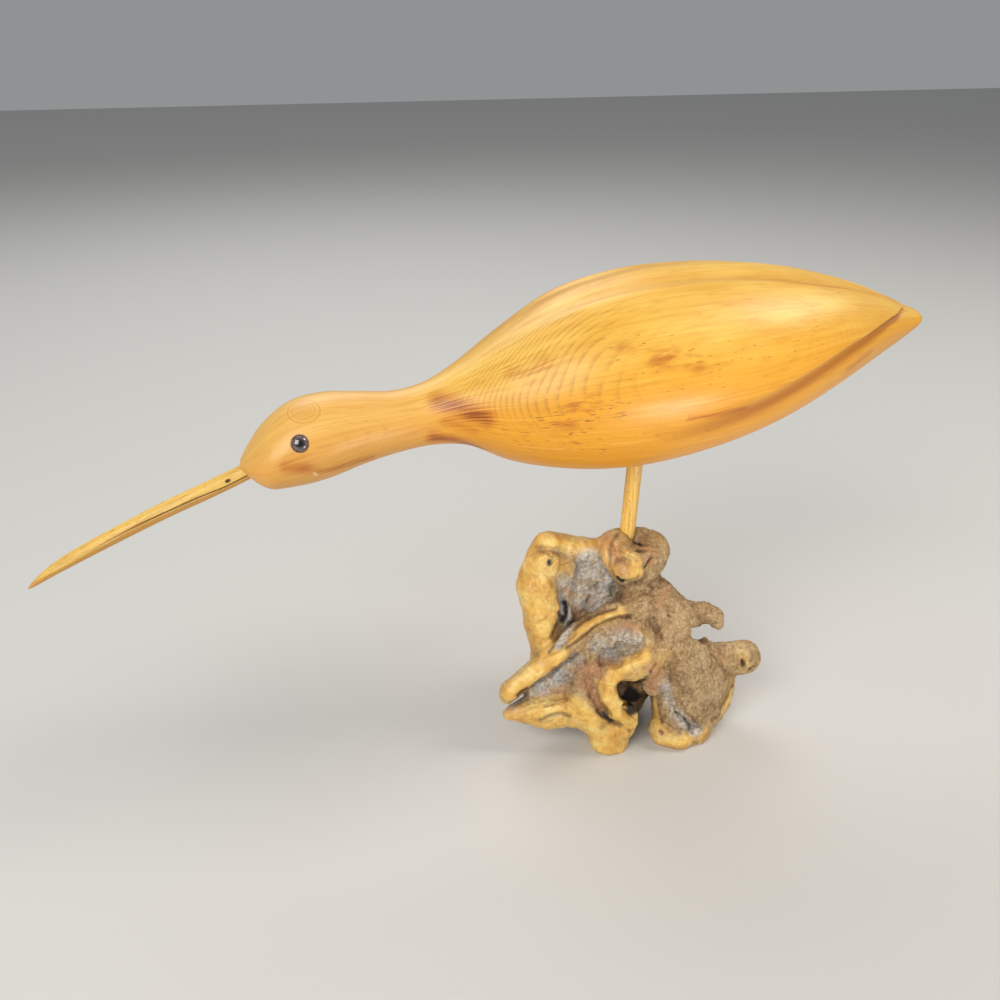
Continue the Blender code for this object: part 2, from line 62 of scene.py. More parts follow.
# The bird, from the forehead to the tail end, in cm:
# x, height of the back, height of the underside, half width.
BIRD_STATIONS = (
    (-15.10, 14.45, 13.40, 1.00),
    (-14.30, 15.20, 13.05, 1.38),
    (-13.20, 16.02, 13.02, 1.60),
    (-12.00, 16.28, 13.20, 1.56),
    (-10.80, 16.22, 13.55, 1.32),
    (-9.40, 16.12, 13.86, 1.12),
    (-8.20, 16.36, 14.01, 1.20),
    (-7.00, 16.95, 13.95, 1.75),
    (-5.40, 17.98, 13.23, 2.72),
    (-3.40, 19.12, 12.73, 3.55),
    (-0.80, 19.82, 12.53, 4.05),
    (2.00, 20.00, 12.88, 4.10),
    (5.00, 19.80, 13.68, 3.62),
    (7.60, 19.26, 14.77, 2.72),
    (9.80, 18.54, 15.76, 1.62),
    (11.30, 17.84, 16.48, 0.86),
    (12.30, 17.47, 17.08, 0.46),
)
FOREHEAD_ROUND = 1.15             # cm over which the head rounds off
TAIL_ROUND = 0.50                 # cm over which the tail rounds off

# Wing edges, as the angle up from the flank: x in cm, degrees.
UPPER_EDGE = (
    (-6.0, 74.0), (-3.5, 71.5), (1.0, 69.5), (5.0, 65.5),
    (7.2, 62.5), (9.0, 64.5), (11.0, 76.0), (12.3, 70.0),
)
LOWER_EDGE = (
    (-6.0, -14.0), (1.0, -12.5), (3.3, -9.0), (5.5, -0.5), (7.2, 7.5),
    (8.7, 15.0), (9.7, 24.0), (10.4, 35.5), (11.0, 56.0), (12.3, 40.0),
)
WING_TIP_X = 11.02                # cm, where the folded wings end
TIP_STEP = 0.05                   # cm, half the carved step at the wing tip
UPPER_FADE = (-5.0, -2.6)         # cm, the upper edge rises out of the shoulder
LOWER_FADE = (-0.6, 4.6)          # cm, the lower edge rises out of the flank
TIP_FADE = (10.4, 11.4)           # cm, the hollows run out past the wing tip
WING_RAISE = 0.055                # cm, wing surface above the plain body
COVE_DEPTH = 0.10                 # cm, hollow beside a wing edge
COVE_SPREAD = 13.0                # degrees over which that hollow runs out
EDGE_SOFT = 4.5                   # degrees, half the carved step at the shoulder
EDGE_CRISP = 1.4                  # degrees, half the carved step at the wing tip
CREASE_DEPTH = 0.020              # cm, knife line at the foot of the step
CREASE_WIDTH = 0.9                # degrees
LOWER_CREASE = (7.6, 9.6)         # cm, where the knife line under the wing sets in
UPPER_CREASE = (4.0, 8.0)         # cm, where the knife line over the wing sets in
TIP_CREASE = 0.045                # cm, half the width of the line across the wing tip
COLUMNS = (34, 10, 40, 10, 12)    # belly, lower step, wing, upper step, back
BIRD_RINGS = 300
CARVED_ANGLE = 40.0               # degrees, sharper edges stay crisp
GIRTH = 0.030                     # radius on which the grain is laid round the bird
FAR_SHIFT = 0.8                   # cm, the far side's marks lie this much nearer the tail

# The bill, along its axis from the face of the head, in cm: distance, rise
# of the centre line, half thickness, half width.
BILL_STATIONS = (
    (-1.20, 0.000, 0.300, 0.300),
    (0.00, 0.030, 0.318, 0.318),
    (1.50, 0.090, 0.322, 0.318),
    (3.00, 0.175, 0.312, 0.312),
    (4.80, 0.210, 0.292, 0.285),
    (6.00, 0.212, 0.275, 0.255),
    (6.80, 0.200, 0.258, 0.225),
    (7.50, 0.160, 0.212, 0.180),
    (8.10, 0.085, 0.145, 0.125),
    (8.45, 0.020, 0.085, 0.080),
    (8.64, -0.025, 0.030, 0.030),
)
BILL_FACE = Vector((-14.90, 0.0, 13.62)) * CM
BILL_SLOPE = math.radians(24.0)
BILL_ALONG = Vector((-math.cos(BILL_SLOPE), 0.0, -math.sin(BILL_SLOPE)))
BILL_RISE = Vector((-math.sin(BILL_SLOPE), 0.0, math.cos(BILL_SLOPE)))
BILL_FACETS = 8                   # knife flats round the bill
BILL_FLATNESS = 0.75              # how far the knife took the round to those flats
BILL_POINT = (8.68, -0.035)       # cm along the bill and rise, where it ends
BILL_BORE_RADIUS = 0.318          # cm, before the clearance is added
BILL_BORE_MOUTH = (1.50, 0.075)   # cm along the bill and rise, outside the head
BILL_COLUMNS = (24, 14, 24)       # on each side: below the mouth, across it, above it
BILL_RINGS = 170
# The line of the mouth: distance along the bill and rise, in cm.
MOUTH_LINE = (
    (0.0, -0.02), (0.8, 0.0), (1.7, 0.10), (2.9, 0.19), (3.8, 0.24), (4.7, 0.26), (6.0, 0.21),
    (6.9, 0.16),
)
MOUTH_HALF = 0.030                # cm, half the width of the groove
MOUTH_DEPTH = 0.055               # cm
MOUTH_FADE = (3.2, 7.2)           # cm along the bill, the groove runs out
NOSTRIL = (0.66, 0.155)           # cm along the bill, rise
NOSTRIL_OUT = 0.27                # cm from the bill's middle
NOSTRIL_HALVES = (0.00085, 0.00050, 0.00045, 1.0)

# The eyes.
EYE_SPOT = Vector((-13.03, 1.49, 15.13)) * CM   # on the far side, mirrored
EYE_AXIS = Vector((-0.08, 0.93, 0.36)).normalized()
EYE_RADIUS = 0.0028
EYE_BULGE = 0.0016
EYE_SEAT = 0.0003                 # the eye's middle sits this deep
SOCKET_DEPTH = 0.0024
SOCKET_CLEAR = 0.004              # the drill comes from this far outside
PUTTY_RADIUS = 0.00032            # of the bead round the glass
PUTTY_CLEAR = 0.0001
PUTTY_RISE = 0.0002

# The leg.
LEG_RADIUS = 0.003175
LEG_LEAN = math.radians(2.6)      # the top leans to the tail
LEG_CROSSING = 0.09               # height at which the leg's middle is over x = 0
LEG_BOTTOM = 0.0765
LEG_TOP = 0.1360
LEG_STEPS = 60
LEG_WEAR = 0.012                  # of the radius, taken off in flats and ridges
BORE_MOUTH = 0.110                # height between the belly and the root

# Runs of root wood, each a chain of balls: x, y, z and radius in cm.
ROOT_RUNS = {
    "knob": (
        (-0.46, -0.05, 8.24, 0.94), (-0.10, -0.55, 7.95, 1.00), (0.35, -0.55, 7.95, 1.05),
        (0.92, -0.25, 8.12, 0.88), (0.35, 0.30, 8.10, 0.95), (-0.46, -0.05, 8.24, 0.94),
    ),
    "neck": (
        (0.30, -0.35, 7.30, 0.90), (0.36, -0.40, 6.75, 0.94), (0.70, -0.45, 5.95, 1.25),
        (0.70, -0.20, 4.60, 2.10),
    ),
    "heart": (
        (0.70, 0.30, 4.30, 2.10), (0.40, 0.50, 2.40, 1.90), (0.20, 0.50, 0.60, 1.35),
    ),
    "left_rim": (
        (-0.90, 0.20, 8.12, 0.60), (-2.20, 0.40, 8.22, 0.68), (-3.28, 0.40, 8.46, 0.80),
        (-3.70, 0.30, 7.60, 0.80), (-3.80, 0.10, 6.95, 0.92), (-3.60, -0.05, 6.20, 0.90),
        (-3.54, -0.10, 5.40, 0.90), (-3.44, -0.30, 4.60, 0.82), (-3.40, -0.45, 3.70, 0.66),
    ),
    "left_slab": (
        (-2.60, 0.45, 8.00, 0.80), (-2.95, 0.25, 7.10, 0.86), (-2.95, 0.10, 6.10, 0.86),
        (-2.95, 0.00, 5.20, 0.84), (-2.75, -0.25, 4.40, 0.74),
    ),
    "hollow_wall": (
        (-0.80, 0.40, 7.10, 0.90), (-1.70, 0.55, 7.40, 0.80), (-2.00, 0.40, 6.20, 0.90),
        (-1.90, 0.20, 5.20, 0.90), (-1.00, 0.10, 5.90, 1.00),
    ),
    "upper_ridge": (
        (0.20, -1.35, 6.20, 0.66), (-0.60, -1.45, 6.05, 0.52), (-1.35, -1.40, 5.75, 0.46),
        (-2.40, -1.30, 5.18, 0.48), (-3.40, -1.28, 4.45, 0.50), (-4.45, -1.25, 3.64, 0.48),
        (-5.42, -1.22, 2.92, 0.42), (-5.52, -1.22, 2.70, 0.30),
    ),
    "ridge_web": (
        (-0.60, -0.95, 5.50, 0.95), (-1.70, -0.85, 4.90, 0.88), (-2.70, -0.90, 4.20, 0.80),
        (-3.60, -1.00, 3.50, 0.62), (-4.20, -1.05, 3.00, 0.50),
    ),
    "oval_rim": (
        (-2.30, -1.50, 4.50, 0.38), (-1.95, -1.65, 5.05, 0.36), (-1.30, -1.80, 5.50, 0.36),
        (-0.60, -2.00, 5.72, 0.40), (0.00, -2.10, 5.40, 0.50), (0.20, -2.15, 5.00, 0.55),
    ),
    "oval_floor": (
        (0.00, -1.60, 5.00, 0.95), (-0.80, -1.45, 4.80, 0.90), (-1.60, -1.25, 4.30, 0.90),
        (-2.20, -1.20, 3.70, 0.85),
    ),
    "arch": (
        (0.95, -2.00, 4.30, 0.80), (0.45, -2.25, 4.36, 0.72), (-0.15, -2.35, 4.36, 0.84),
        (-0.85, -2.30, 4.05, 0.66), (-1.32, -2.30, 3.50, 0.56), (-1.34, -2.40, 2.80, 0.54),
        (-1.05, -2.55, 2.20, 0.54), (-0.58, -2.58, 1.72, 0.50), (-0.72, -2.45, 1.10, 0.58),
    ),
    "left_brow": (
        (-0.90, -1.95, 4.20, 0.50), (-1.70, -1.85, 3.95, 0.55), (-2.30, -1.75, 3.40, 0.62),
        (-2.40, -1.75, 2.60, 0.80), (-1.90, -1.85, 1.90, 0.90),
    ),
    "lower_prong": (
        (-5.38, -1.30, 1.86, 0.28), (-4.60, -1.30, 1.84, 0.58), (-3.75, -1.35, 1.70, 0.80),
        (-2.80, -1.50, 1.85, 0.92), (-1.90, -1.80, 1.60, 0.92), (-1.30, -2.10, 0.95, 0.90),
        (-1.18, -2.15, 0.35, 0.88),
    ),
    "prong_web": (
        (-4.20, -1.10, 2.60, 0.50), (-3.30, -1.10, 2.70, 0.75), (-2.40, -1.10, 2.80, 1.00),
    ),
    "right_fan": (
        (1.10, -0.90, 6.00, 1.00), (1.55, -1.30, 5.20, 1.20), (1.90, -1.65, 3.90, 1.36),
        (2.20, -1.85, 2.40, 1.40), (2.10, -2.10, 1.20, 1.25),
    ),
    "fan_right": (
        (2.20, -1.30, 4.00, 0.90), (2.90, -1.58, 3.15, 1.10), (3.20, -1.72, 2.20, 1.14),
        (3.10, -2.00, 1.20, 0.95), (2.60, -2.25, 0.70, 0.85),
    ),
    "hole_lump": (
        (0.60, -2.20, 3.60, 0.80), (0.75, -2.40, 3.05, 0.64),
    ),
    "right_foot": (
        (1.30, -2.50, 0.50, 0.76), (1.80, -2.55, 0.40, 0.92), (2.55, -2.60, 0.45, 0.82),
    ),
    "right_edge": (
        (3.30, -1.60, 2.90, 0.90), (3.92, -1.65, 2.25, 0.84), (4.10, -1.75, 1.65, 0.66),
        (4.05, -1.85, 1.15, 0.60), (3.78, -1.95, 0.66, 0.58), (3.25, -2.15, 0.35, 0.56),
    ),
    "upper_stub": (
        (1.90, -1.05, 5.46, 0.68), (2.50, -1.15, 5.34, 0.55), (3.15, -1.30, 5.38, 0.46),
        (3.66, -1.42, 5.20, 0.38), (3.78, -1.52, 4.80, 0.28),
    ),
    "lower_stub": (
        (3.00, -1.45, 3.00, 0.85), (3.80, -1.60, 3.00, 0.74), (4.55, -1.80, 3.10, 0.74),
        (4.98, -1.92, 3.16, 0.74),
    ),
    "shoulder_bump": (
        (1.30, -1.00, 6.60, 0.42), (1.50, -1.10, 6.45, 0.36),
    ),
    "back_ridge": (
        (0.10, 0.40, 7.20, 0.85), (-0.25, 1.10, 6.00, 1.05), (0.15, 1.75, 4.60, 1.25),
        (0.45, 2.25, 3.10, 1.20), (0.25, 2.55, 1.70, 1.00),
    ),
    "left_back": (
        (-1.50, 1.10, 5.20, 1.10), (-1.95, 1.60, 3.90, 1.12), (-2.40, 2.10, 2.40, 1.00),
        (-2.40, 2.45, 1.20, 0.90), (-2.55, 2.60, 0.45, 0.85),
    ),
    "right_back": (
        (1.60, 1.10, 4.60, 1.40), (2.40, 1.70, 3.20, 1.25), (2.75, 2.20, 1.80, 1.05),
        (3.10, 2.45, 0.50, 0.95),
    ),
    "back_webs": (
        (-1.40, 1.60, 2.60, 1.15), (-0.40, 2.00, 2.20, 1.10), (1.50, 1.90, 2.50, 1.20),
    ),
    "back_stub": (
        (-1.90, 2.20, 3.90, 0.80), (-2.30, 2.85, 3.55, 0.56), (-2.50, 3.20, 3.20, 0.44),
    ),
    "back_knot": (
        (1.60, 2.10, 4.60, 0.85), (2.20, 2.60, 4.75, 0.62), (2.45, 2.95, 4.70, 0.50),
    ),
}
# Hollows, cut the same way.
ROOT_HOLLOWS = {
    "oval_hollow": (
        (-0.55, -2.75, 5.05, 0.45), (-1.10, -2.55, 4.85, 0.50), (-1.70, -2.30, 4.45, 0.42),
    ),
    "centre_hole": (
        (-0.56, -3.10, 3.10, 0.40), (-0.48, -2.20, 3.00, 0.60), (-0.20, -1.40, 2.60, 0.66),
    ),
    "foot_gap": (
        (0.12, -3.40, 2.20, 0.26), (0.15, -2.20, 2.00, 0.45), (0.22, -1.60, 1.00, 0.55),
        (0.22, -3.00, 0.90, 0.38), (0.14, -2.70, -0.30, 0.55),
    ),
    "stub_notch": (
        (2.30, -2.30, 5.14, 0.26), (2.82, -1.40, 4.54, 0.38), (3.34, -0.50, 3.92, 0.48),
        (4.00, 0.60, 3.20, 0.60),
    ),
    "stub_gap": (
        (2.78, -1.40, 4.58, 0.26), (3.20, -1.50, 4.42, 0.33), (3.75, -1.60, 4.18, 0.40),
        (4.30, -1.40, 4.10, 0.40),
    ),
    "stub_throat": (
        (2.60, -2.90, 5.06, 0.28), (2.88, -2.10, 4.74, 0.33), (3.20, -1.50, 4.45, 0.33),
    ),
    "prong_under": (
        (-2.90, -2.40, 1.00, 0.34), (-2.80, -1.00, 0.72, 0.48),
    ),
    "stub_end_pit": (
        (5.20, -2.85, 3.05, 0.20), (5.10, -2.55, 3.02, 0.18),
    ),
    "back_hollow": (
        (-0.95, 3.05, 4.10, 0.50), (-1.00, 2.65, 3.30, 0.55), (-1.15, 2.90, 2.40, 0.45),
    ),
    "back_cleft": (
        (1.45, 3.30, 1.60, 0.40), (1.40, 2.70, 1.30, 0.45), (1.35, 2.60, 0.30, 0.50),
    ),
}
CHAIN_SPACING = 0.25              # of the radius, between balls of a run
ROOT_VOXEL = 0.00070
ROOT_SMOOTHING = 6
BLOCK_SIZE = 0.3                  # the block that saws the root's foot level
SHADED_CREASE_REACH = 0.17               # cm, wider gouges get no painted crease shade
GRAIN_TILT = (0.31, -0.52, 0.79)  # any direction that no run follows
FURROW_SIZE = np.array((0.011, 0.0019, 0.0019))   # length and widths of a furrow
FURROW_HEIGHT = 0.0008
LUMPS = ((0.010, 0.0), (0.0050, 5.1))             # sizes, and where in the noise they start
LUMP_HEIGHT = 0.00040
CRUMPLE_SIZE = 0.0042
CRUMPLE_HEIGHT = 0.0012
GRIT_SIZE = 0.0020
GRIT_HEIGHT = 0.00034
PIT_SIZE = 0.0042
PIT_DEPTH = 0.00055
PIT_START = 3.1

# Broad hollows and swells of the root, seen from the camera: radius and
# height in cm, then the pixels of the photograph that they run through.
ROOT_FORMS = {
    "hollow_broad": (0.85, -0.16, ((585, 562), (580, 580), (572, 600))),
    "hollow_right": (0.80, -0.14, ((604, 575), (596, 592), (590, 606))),
    "hollow_cleft": (0.35, -0.22, ((563, 592), (565, 606), (561, 622), (556, 636))),
    "top_shelf": (0.45, 0.10, ((540, 538), (556, 539), (574, 543), (592, 546))),
    "rim_groove": (0.30, -0.12, ((530, 553), (541, 549), (554, 550), (566, 554))),
    "oval_dish": (0.62, -0.20, ((602, 640), (614, 638), (626, 634))),
    "oval_dish_low": (0.45, -0.16, ((594, 650), (606, 652), (618, 648))),
    "oval_lip": (0.34, 0.10, ((640, 620), (643, 630), (642, 640))),
    "ridge_top": (0.32, 0.14, ((618, 606), (600, 610), (585, 618), (572, 628), (560, 638))),
    "prong_dish": (0.55, -0.14, ((536, 686), (552, 677), (566, 666), (578, 658))),
    "knuckle": (0.50, 0.12, ((580, 670), (594, 666), (606, 668))),
    "valley": (0.36, -0.15, ((588, 678), (591, 692), (597, 705), (606, 714))),
    "arch_inner": (0.50, -0.34, ((623, 686), (624, 698), (629, 708), (638, 716))),
    "arch_lump": (0.62, 0.16, ((630, 660), (644, 656))),
    "fan_lump": (0.50, 0.12, ((652, 672), (656, 684))),
    "grey_gutter": (0.45, -0.16, ((662, 690), (668, 704), (680, 718), (692, 728))),
    "foot_top": (0.45, 0.10, ((658, 738), (672, 744), (688, 742))),
    "stub_face": (0.45, -0.08, ((742, 660),)),
    "knob_seat": (0.40, -0.14, ((636, 540), (640, 548))),
    "knob_left": (0.40, 0.10, ((606, 545), (606, 556), (610, 566))),
    "knob_low": (0.40, 0.10, ((624, 572), (634, 574))),
    "knob_groove": (0.30, -0.16, ((616, 545), (618, 556), (628, 562))),
    "fan_edge": (0.40, 0.10, ((730, 690), (724, 706), (712, 724))),
}
# Gouges and beads worked into those, in the same way.
ROOT_STROKES = {
    "rim_crease": (0.22, -0.06, ((528, 553), (538, 549), (549, 549), (557, 551), (566, 553))),
    "rim_hole": (0.15, -0.12, ((549, 561), (549, 564))),
    "lobe_dent_high": (0.35, -0.05, ((540, 575), (537, 585), (545, 592))),
    "lobe_dent_mid": (0.30, -0.05, ((531, 598), (541, 603), (550, 598))),
    "lobe_dent_low": (0.30, -0.06, ((527, 632), (535, 627), (545, 622))),
    "lobe_bead_high": (0.35, 0.04, ((531, 560), (530, 575))),
    "lobe_bead_mid": (0.35, 0.05, ((545, 608), (540, 618))),
    "pit_crack": (0.16, -0.14, ((565, 602), (567, 608), (566, 615), (563, 622))),
    "pit_side": (0.14, -0.10, ((558, 612), (561, 617))),
    "hollow_foot": (0.24, -0.16, ((573, 634), (566, 641), (558, 648), (551, 652))),
    "ridge_line": (0.13, -0.10, ((616, 609), (605, 612), (593, 617), (582, 622), (574, 630))),
    "rim_line": (0.14, -0.13, ((630, 617), (618, 617), (605, 621), (594, 627), (586, 634),
                               (577, 641), (567, 648))),
    "oval_edge": (0.14, -0.07, ((641, 628), (644, 636), (644, 645))),
    "prong_slit": (0.14, -0.32, ((503, 708), (511, 702), (519, 695), (527, 689))),
    "prong_valley": (0.16, -0.06, ((531, 686), (545, 679), (558, 668), (570, 659), (577, 655))),
    "prong_fold": (0.16, -0.09, ((540, 720), (551, 715), (561, 713), (570, 716))),
    "prong_streak": (0.10, -0.03, ((524, 712), (533, 707), (543, 702))),
    "arch_crease": (0.12, -0.10, ((656, 664), (650, 671), (643, 679), (638, 682))),
    "valley_left": (0.22, -0.03, ((586, 674), (588, 684), (592, 697), (600, 709))),
    "foot_crack": (0.11, -0.12, ((598, 710), (604, 716), (611, 721), (620, 725), (630, 731))),
    "foot_fold": (0.15, -0.05, ((602, 728), (608, 723), (611, 720))),
    "fan_slit": (0.10, -0.10, ((658, 703), (659, 712), (662, 722))),
    "grey_crack_a": (0.10, -0.10, ((675, 712), (683, 717), (689, 724), (692, 733))),
    "grey_crack_b": (0.09, -0.09, ((684, 711), (692, 718), (699, 726))),
    "grey_crack_c": (0.09, -0.08, ((690, 728), (697, 727), (704, 730))),
    "foot_pit": (0.14, -0.10, ((660, 731), (662, 733))),
    "foot_nick_a": (0.08, -0.06, ((668, 728), (671, 732))),
    "foot_nick_b": (0.08, -0.06, ((677, 729), (680, 733))),
    "foot_seam": (0.10, -0.06, ((687, 734), (693, 742), (697, 744))),
    "edge_seam": (0.12, -0.08, ((733, 684), (729, 692), (725, 701), (720, 709))),
    "edge_notch": (0.14, -0.07, ((726, 714), (720, 715), (712, 720))),
    "stub_ring": (0.15, -0.15, ((742, 661), (743, 664))),
    "stub_scar": (0.12, -0.06, ((751, 650), (753, 656), (750, 662))),
    "stub_edge": (0.10, -0.05, ((732, 646), (733, 658), (737, 670), (740, 676))),
    "fan_lump_a": (0.35, 0.05, ((676, 620), (684, 628))),
    "fan_lump_b": (0.40, 0.06, ((664, 636), (668, 650))),
    "fan_lump_c": (0.40, 0.06, ((690, 652), (698, 664))),
    "fan_lump_d": (0.45, 0.07, ((680, 672), (690, 684))),
    "fan_lump_e": (0.35, 0.05, ((706, 690), (702, 704))),
    "fan_dip_a": (0.30, -0.07, ((652, 622), (656, 634))),
    "fan_dip_b": (0.30, -0.08, ((676, 640), (682, 650))),
    "fan_dip_c": (0.30, -0.08, ((694, 676), (706, 674))),
    "fan_dip_d": (0.35, -0.08, ((664, 660), (672, 664))),
    "fan_dip_e": (0.30, -0.07, ((690, 696), (700, 712))),
    "lobe_bead_low": (0.30, 0.06, ((529, 614), (534, 620))),
    "lobe_bead_top": (0.30, 0.06, ((538, 560), (536, 568))),
    "lobe_bead_side": (0.28, 0.06, ((548, 584), (546, 594))),
    "lobe_bead_foot": (0.30, 0.06, ((540, 640), (544, 650))),
    "hollow_lump_a": (0.30, 0.07, ((586, 572), (592, 580))),
    "hollow_lump_b": (0.28, 0.07, ((574, 566), (572, 574))),
    "hollow_lump_c": (0.30, 0.07, ((604, 590), (598, 598))),
    "hollow_lump_d": (0.25, 0.06, ((584, 596), (578, 606))),
    "oval_lump_a": (0.28, 0.07, ((606, 640), (612, 646))),
    "oval_lump_b": (0.25, 0.06, ((626, 636), (632, 642))),
    "prong_groove_a": (0.12, -0.05, ((532, 720), (542, 722), (552, 721))),
    "prong_groove_b": (0.12, -0.05, ((545, 706), (556, 702), (566, 700))),
    "fan_scar": (0.14, -0.05, ((712, 655), (718, 663), (725, 671))),
    "fan_pit": (0.16, -0.05, ((667, 608), (669, 616))),
    "knob_root": (0.20, -0.10, ((631, 536), (637, 541), (634, 545))),
    "knob_pit_a": (0.12, -0.11, ((640, 545), (648, 545))),
    "knob_pit_b": (0.12, -0.10, ((637, 551), (645, 551))),
    "knob_crack": (0.10, -0.13, ((652, 557), (648, 562), (645, 567))),
    "knob_swirl_left": (0.16, -0.08, ((618, 534), (613, 541), (610, 549), (611, 558), (609, 567))),
    "knob_swirl_mid": (0.12, -0.06, ((615, 550), (622, 552), (630, 556), (637, 561))),
    "knob_bead_mid": (0.14, 0.05, ((612, 547), (620, 548), (628, 547), (634, 552), (640, 558))),
    "knob_swirl_low": (0.14, -0.05, ((613, 572), (614, 562), (620, 557), (630, 560))),
    "knob_seam": (0.13, -0.08, ((644, 568), (646, 577), (640, 582))),
    "neck_hole": (0.12, -0.16, ((618, 577), (620, 579))),
    "neck_pit_a": (0.10, -0.12, ((635, 582), (637, 584))),
    "neck_pit_b": (0.10, -0.10, ((650, 586), (653, 588))),
    "neck_line": (0.12, -0.06, ((609, 568), (613, 574), (618, 578), (628, 580))),
}

# Hues painted on the root, seen from the camera: radius in cm, strength,
# then pixels. Weathered wood is grey, rusty wood is red-brown, rough wood
# is sandy, and waxed wood is the yellow of the bird.
ROOT_WEATHERED = (
    (1.2, 1.0, ((588, 560), (600, 572), (606, 588), (592, 600))),
    (1.0, 1.0, ((580, 570), (574, 586), (584, 602))),
    (0.7, 0.9, ((564, 582), (562, 600), (566, 616), (566, 630))),
    (0.4, 0.9, ((566, 636), (558, 646))),
    (1.0, 0.85, ((598, 644), (606, 650), (622, 648), (636, 640), (618, 636))),
    (0.6, 0.6, ((610, 660), (626, 656))),
    (0.9, 1.0, ((576, 660), (568, 670), (556, 678), (542, 686))),
    (0.5, 0.8, ((548, 690), (534, 692))),
    (0.5, 0.6, ((532, 692), (520, 700), (512, 706))),
    (0.7, 0.8, ((664, 684), (668, 698), (676, 710))),
    (0.7, 1.0, ((678, 716), (688, 724), (696, 730))),
    (0.25, 0.7, ((549, 562), (549, 560))),
    (0.4, 0.6, ((633, 538), (636, 541))),
    (0.5, 0.5, ((541, 549), (556, 551), (572, 556))),
)
ROOT_RUSTY = (
    (0.7, 0.9, ((578, 668), (590, 670), (602, 674))),
    (0.6, 0.9, ((584, 682), (592, 696), (600, 708))),
    (0.5, 0.6, ((600, 662), (612, 664))),
    (0.5, 0.6, ((612, 632), (626, 626), (636, 630))),
    (0.4, 0.7, ((566, 590), (571, 595))),
    (0.6, 0.5, ((590, 604), (576, 612))),
    (0.6, 0.7, ((640, 545), (650, 550), (648, 560))),
    (0.9, 0.8, ((606, 538), (610, 552), (622, 568))),
    (0.6, 0.8, ((648, 668), (656, 678), (652, 690))),
    (0.4, 0.6, ((668, 588), (660, 606))),
    (0.4, 0.6, ((722, 660), (716, 652))),
    (0.4, 0.7, ((660, 731), (663, 734))),
    (0.5, 0.5, ((508, 712), (524, 712))),
    (0.5, 0.5, ((540, 694), (560, 690))),
    (0.4, 0.5, ((651, 660), (660, 664))),
)
ROOT_WAXED = (
    (1.2, 1.0, ((532, 545), (548, 538), (566, 541), (582, 546), (596, 545))),
    (1.3, 1.0, ((527, 570), (531, 590), (535, 612), (542, 632), (546, 646))),
    (0.8, 1.0, ((560, 655), (540, 668), (522, 682), (508, 694))),
    (0.6, 0.8, ((620, 612), (600, 618), (586, 626), (572, 638))),
    (1.1, 1.0, ((520, 718), (536, 712), (560, 708), (578, 708), (592, 724))),
    (1.0, 1.0, ((606, 742), (620, 745))),
    (0.9, 1.0, ((642, 656), (628, 662), (616, 674), (606, 686), (608, 702), (620, 720))),
    (0.7, 0.7, ((640, 634), (646, 646))),
    (0.8, 1.0, ((656, 742), (670, 745), (686, 742), (700, 734))),
    (0.45, 0.9, ((655, 700), (656, 716), (658, 728))),
    (0.7, 0.5, ((742, 652), (748, 662), (740, 670))),
    (0.6, 0.9, ((734, 682), (730, 696), (724, 710), (716, 722))),
    (0.8, 0.9, ((616, 570), (626, 573), (638, 572))),
    (0.8, 0.9, ((603, 545), (605, 556), (610, 566))),
    (0.6, 0.9, ((612, 542), (618, 552), (628, 556), (636, 563))),
)
# Painted shade, nearly black, deep in the hollows and cracks.
ROOT_PAINTED_SHADE = (
    (0.60, 1.0, ((630, 692), (636, 698), (643, 706))),
    (0.60, 1.0, ((627, 698), (632, 708), (642, 714))),
    (0.28, 0.9, ((604, 714), (611, 720))),
    (0.25, 0.8, ((564, 602), (566, 612), (562, 620))),
    (0.25, 0.9, ((619, 577), (622, 580))),
    (0.20, 0.6, ((549, 652), (554, 646))),
    (0.20, 0.6, ((549, 562), (550, 564))),
    (0.25, 0.7, ((634, 542), (640, 545))),
    (0.30, 0.6, ((742, 661), (743, 665))),
    (0.20, 0.6, ((684, 718), (690, 726))),
    (0.20, 0.6, ((651, 672), (645, 678), (640, 682))),
)
# How waxed or grey each run of wood is, where no stroke says otherwise.
RUN_WAX = {
    "left_rim": 0.85, "left_slab": 0.6, "lower_prong": 0.9, "arch": 0.85, "right_foot": 0.8,
    "upper_ridge": 0.6, "right_edge": 0.7, "lower_stub": 0.3, "knob": 0.45, "back_stub": 0.8,
    "back_knot": 0.8, "back_ridge": 0.6, "left_back": 0.8, "shoulder_bump": 0.5,
}
RUN_GREY = {
    "hollow_wall": 0.8, "ridge_web": 0.4, "oval_floor": 0.8, "prong_web": 0.7, "back_webs": 0.8,
    "right_back": 0.35,
}

# The knot on the side of the head: its pixel, and its reach in cm.
HEAD_KNOT = (303, 411)
HEAD_KNOT_SIZE = (0.50, 0.60, 0.31)
# Marks on the bird's left side: radius in cm, strength, then pixels.
BIRD_STREAKS = (
    (0.90, 1.05, ((438, 402), (456, 406), (486, 419))),
    (0.70, 1.10, ((434, 438), (452, 440), (478, 447))),
    (0.60, 0.75, ((446, 421), (474, 430))),
    (0.75, 0.70, ((510, 373), (528, 375), (546, 363))),
    (0.35, 0.85, ((690, 418), (715, 415), (745, 408))),
    (0.60, 0.80, ((285, 468), (306, 468))),
    (0.40, 0.80, ((318, 472), (330, 470), (372, 457))),
)
BIRD_BLUSH = (
    (0.55, 1.0, ((574, 407), (590, 405))),
    (0.60, 0.8, ((655, 358), (672, 357))),
    (0.50, 0.8, ((690, 362), (698, 364))),
    (0.45, 0.6, ((560, 422), (570, 424))),
    (0.40, 0.5, ((622, 347), (630, 349))),
    (0.50, 0.3, ((292, 466), (310, 470))),
    (0.45, 0.5, ((850, 368), (870, 352))),
)
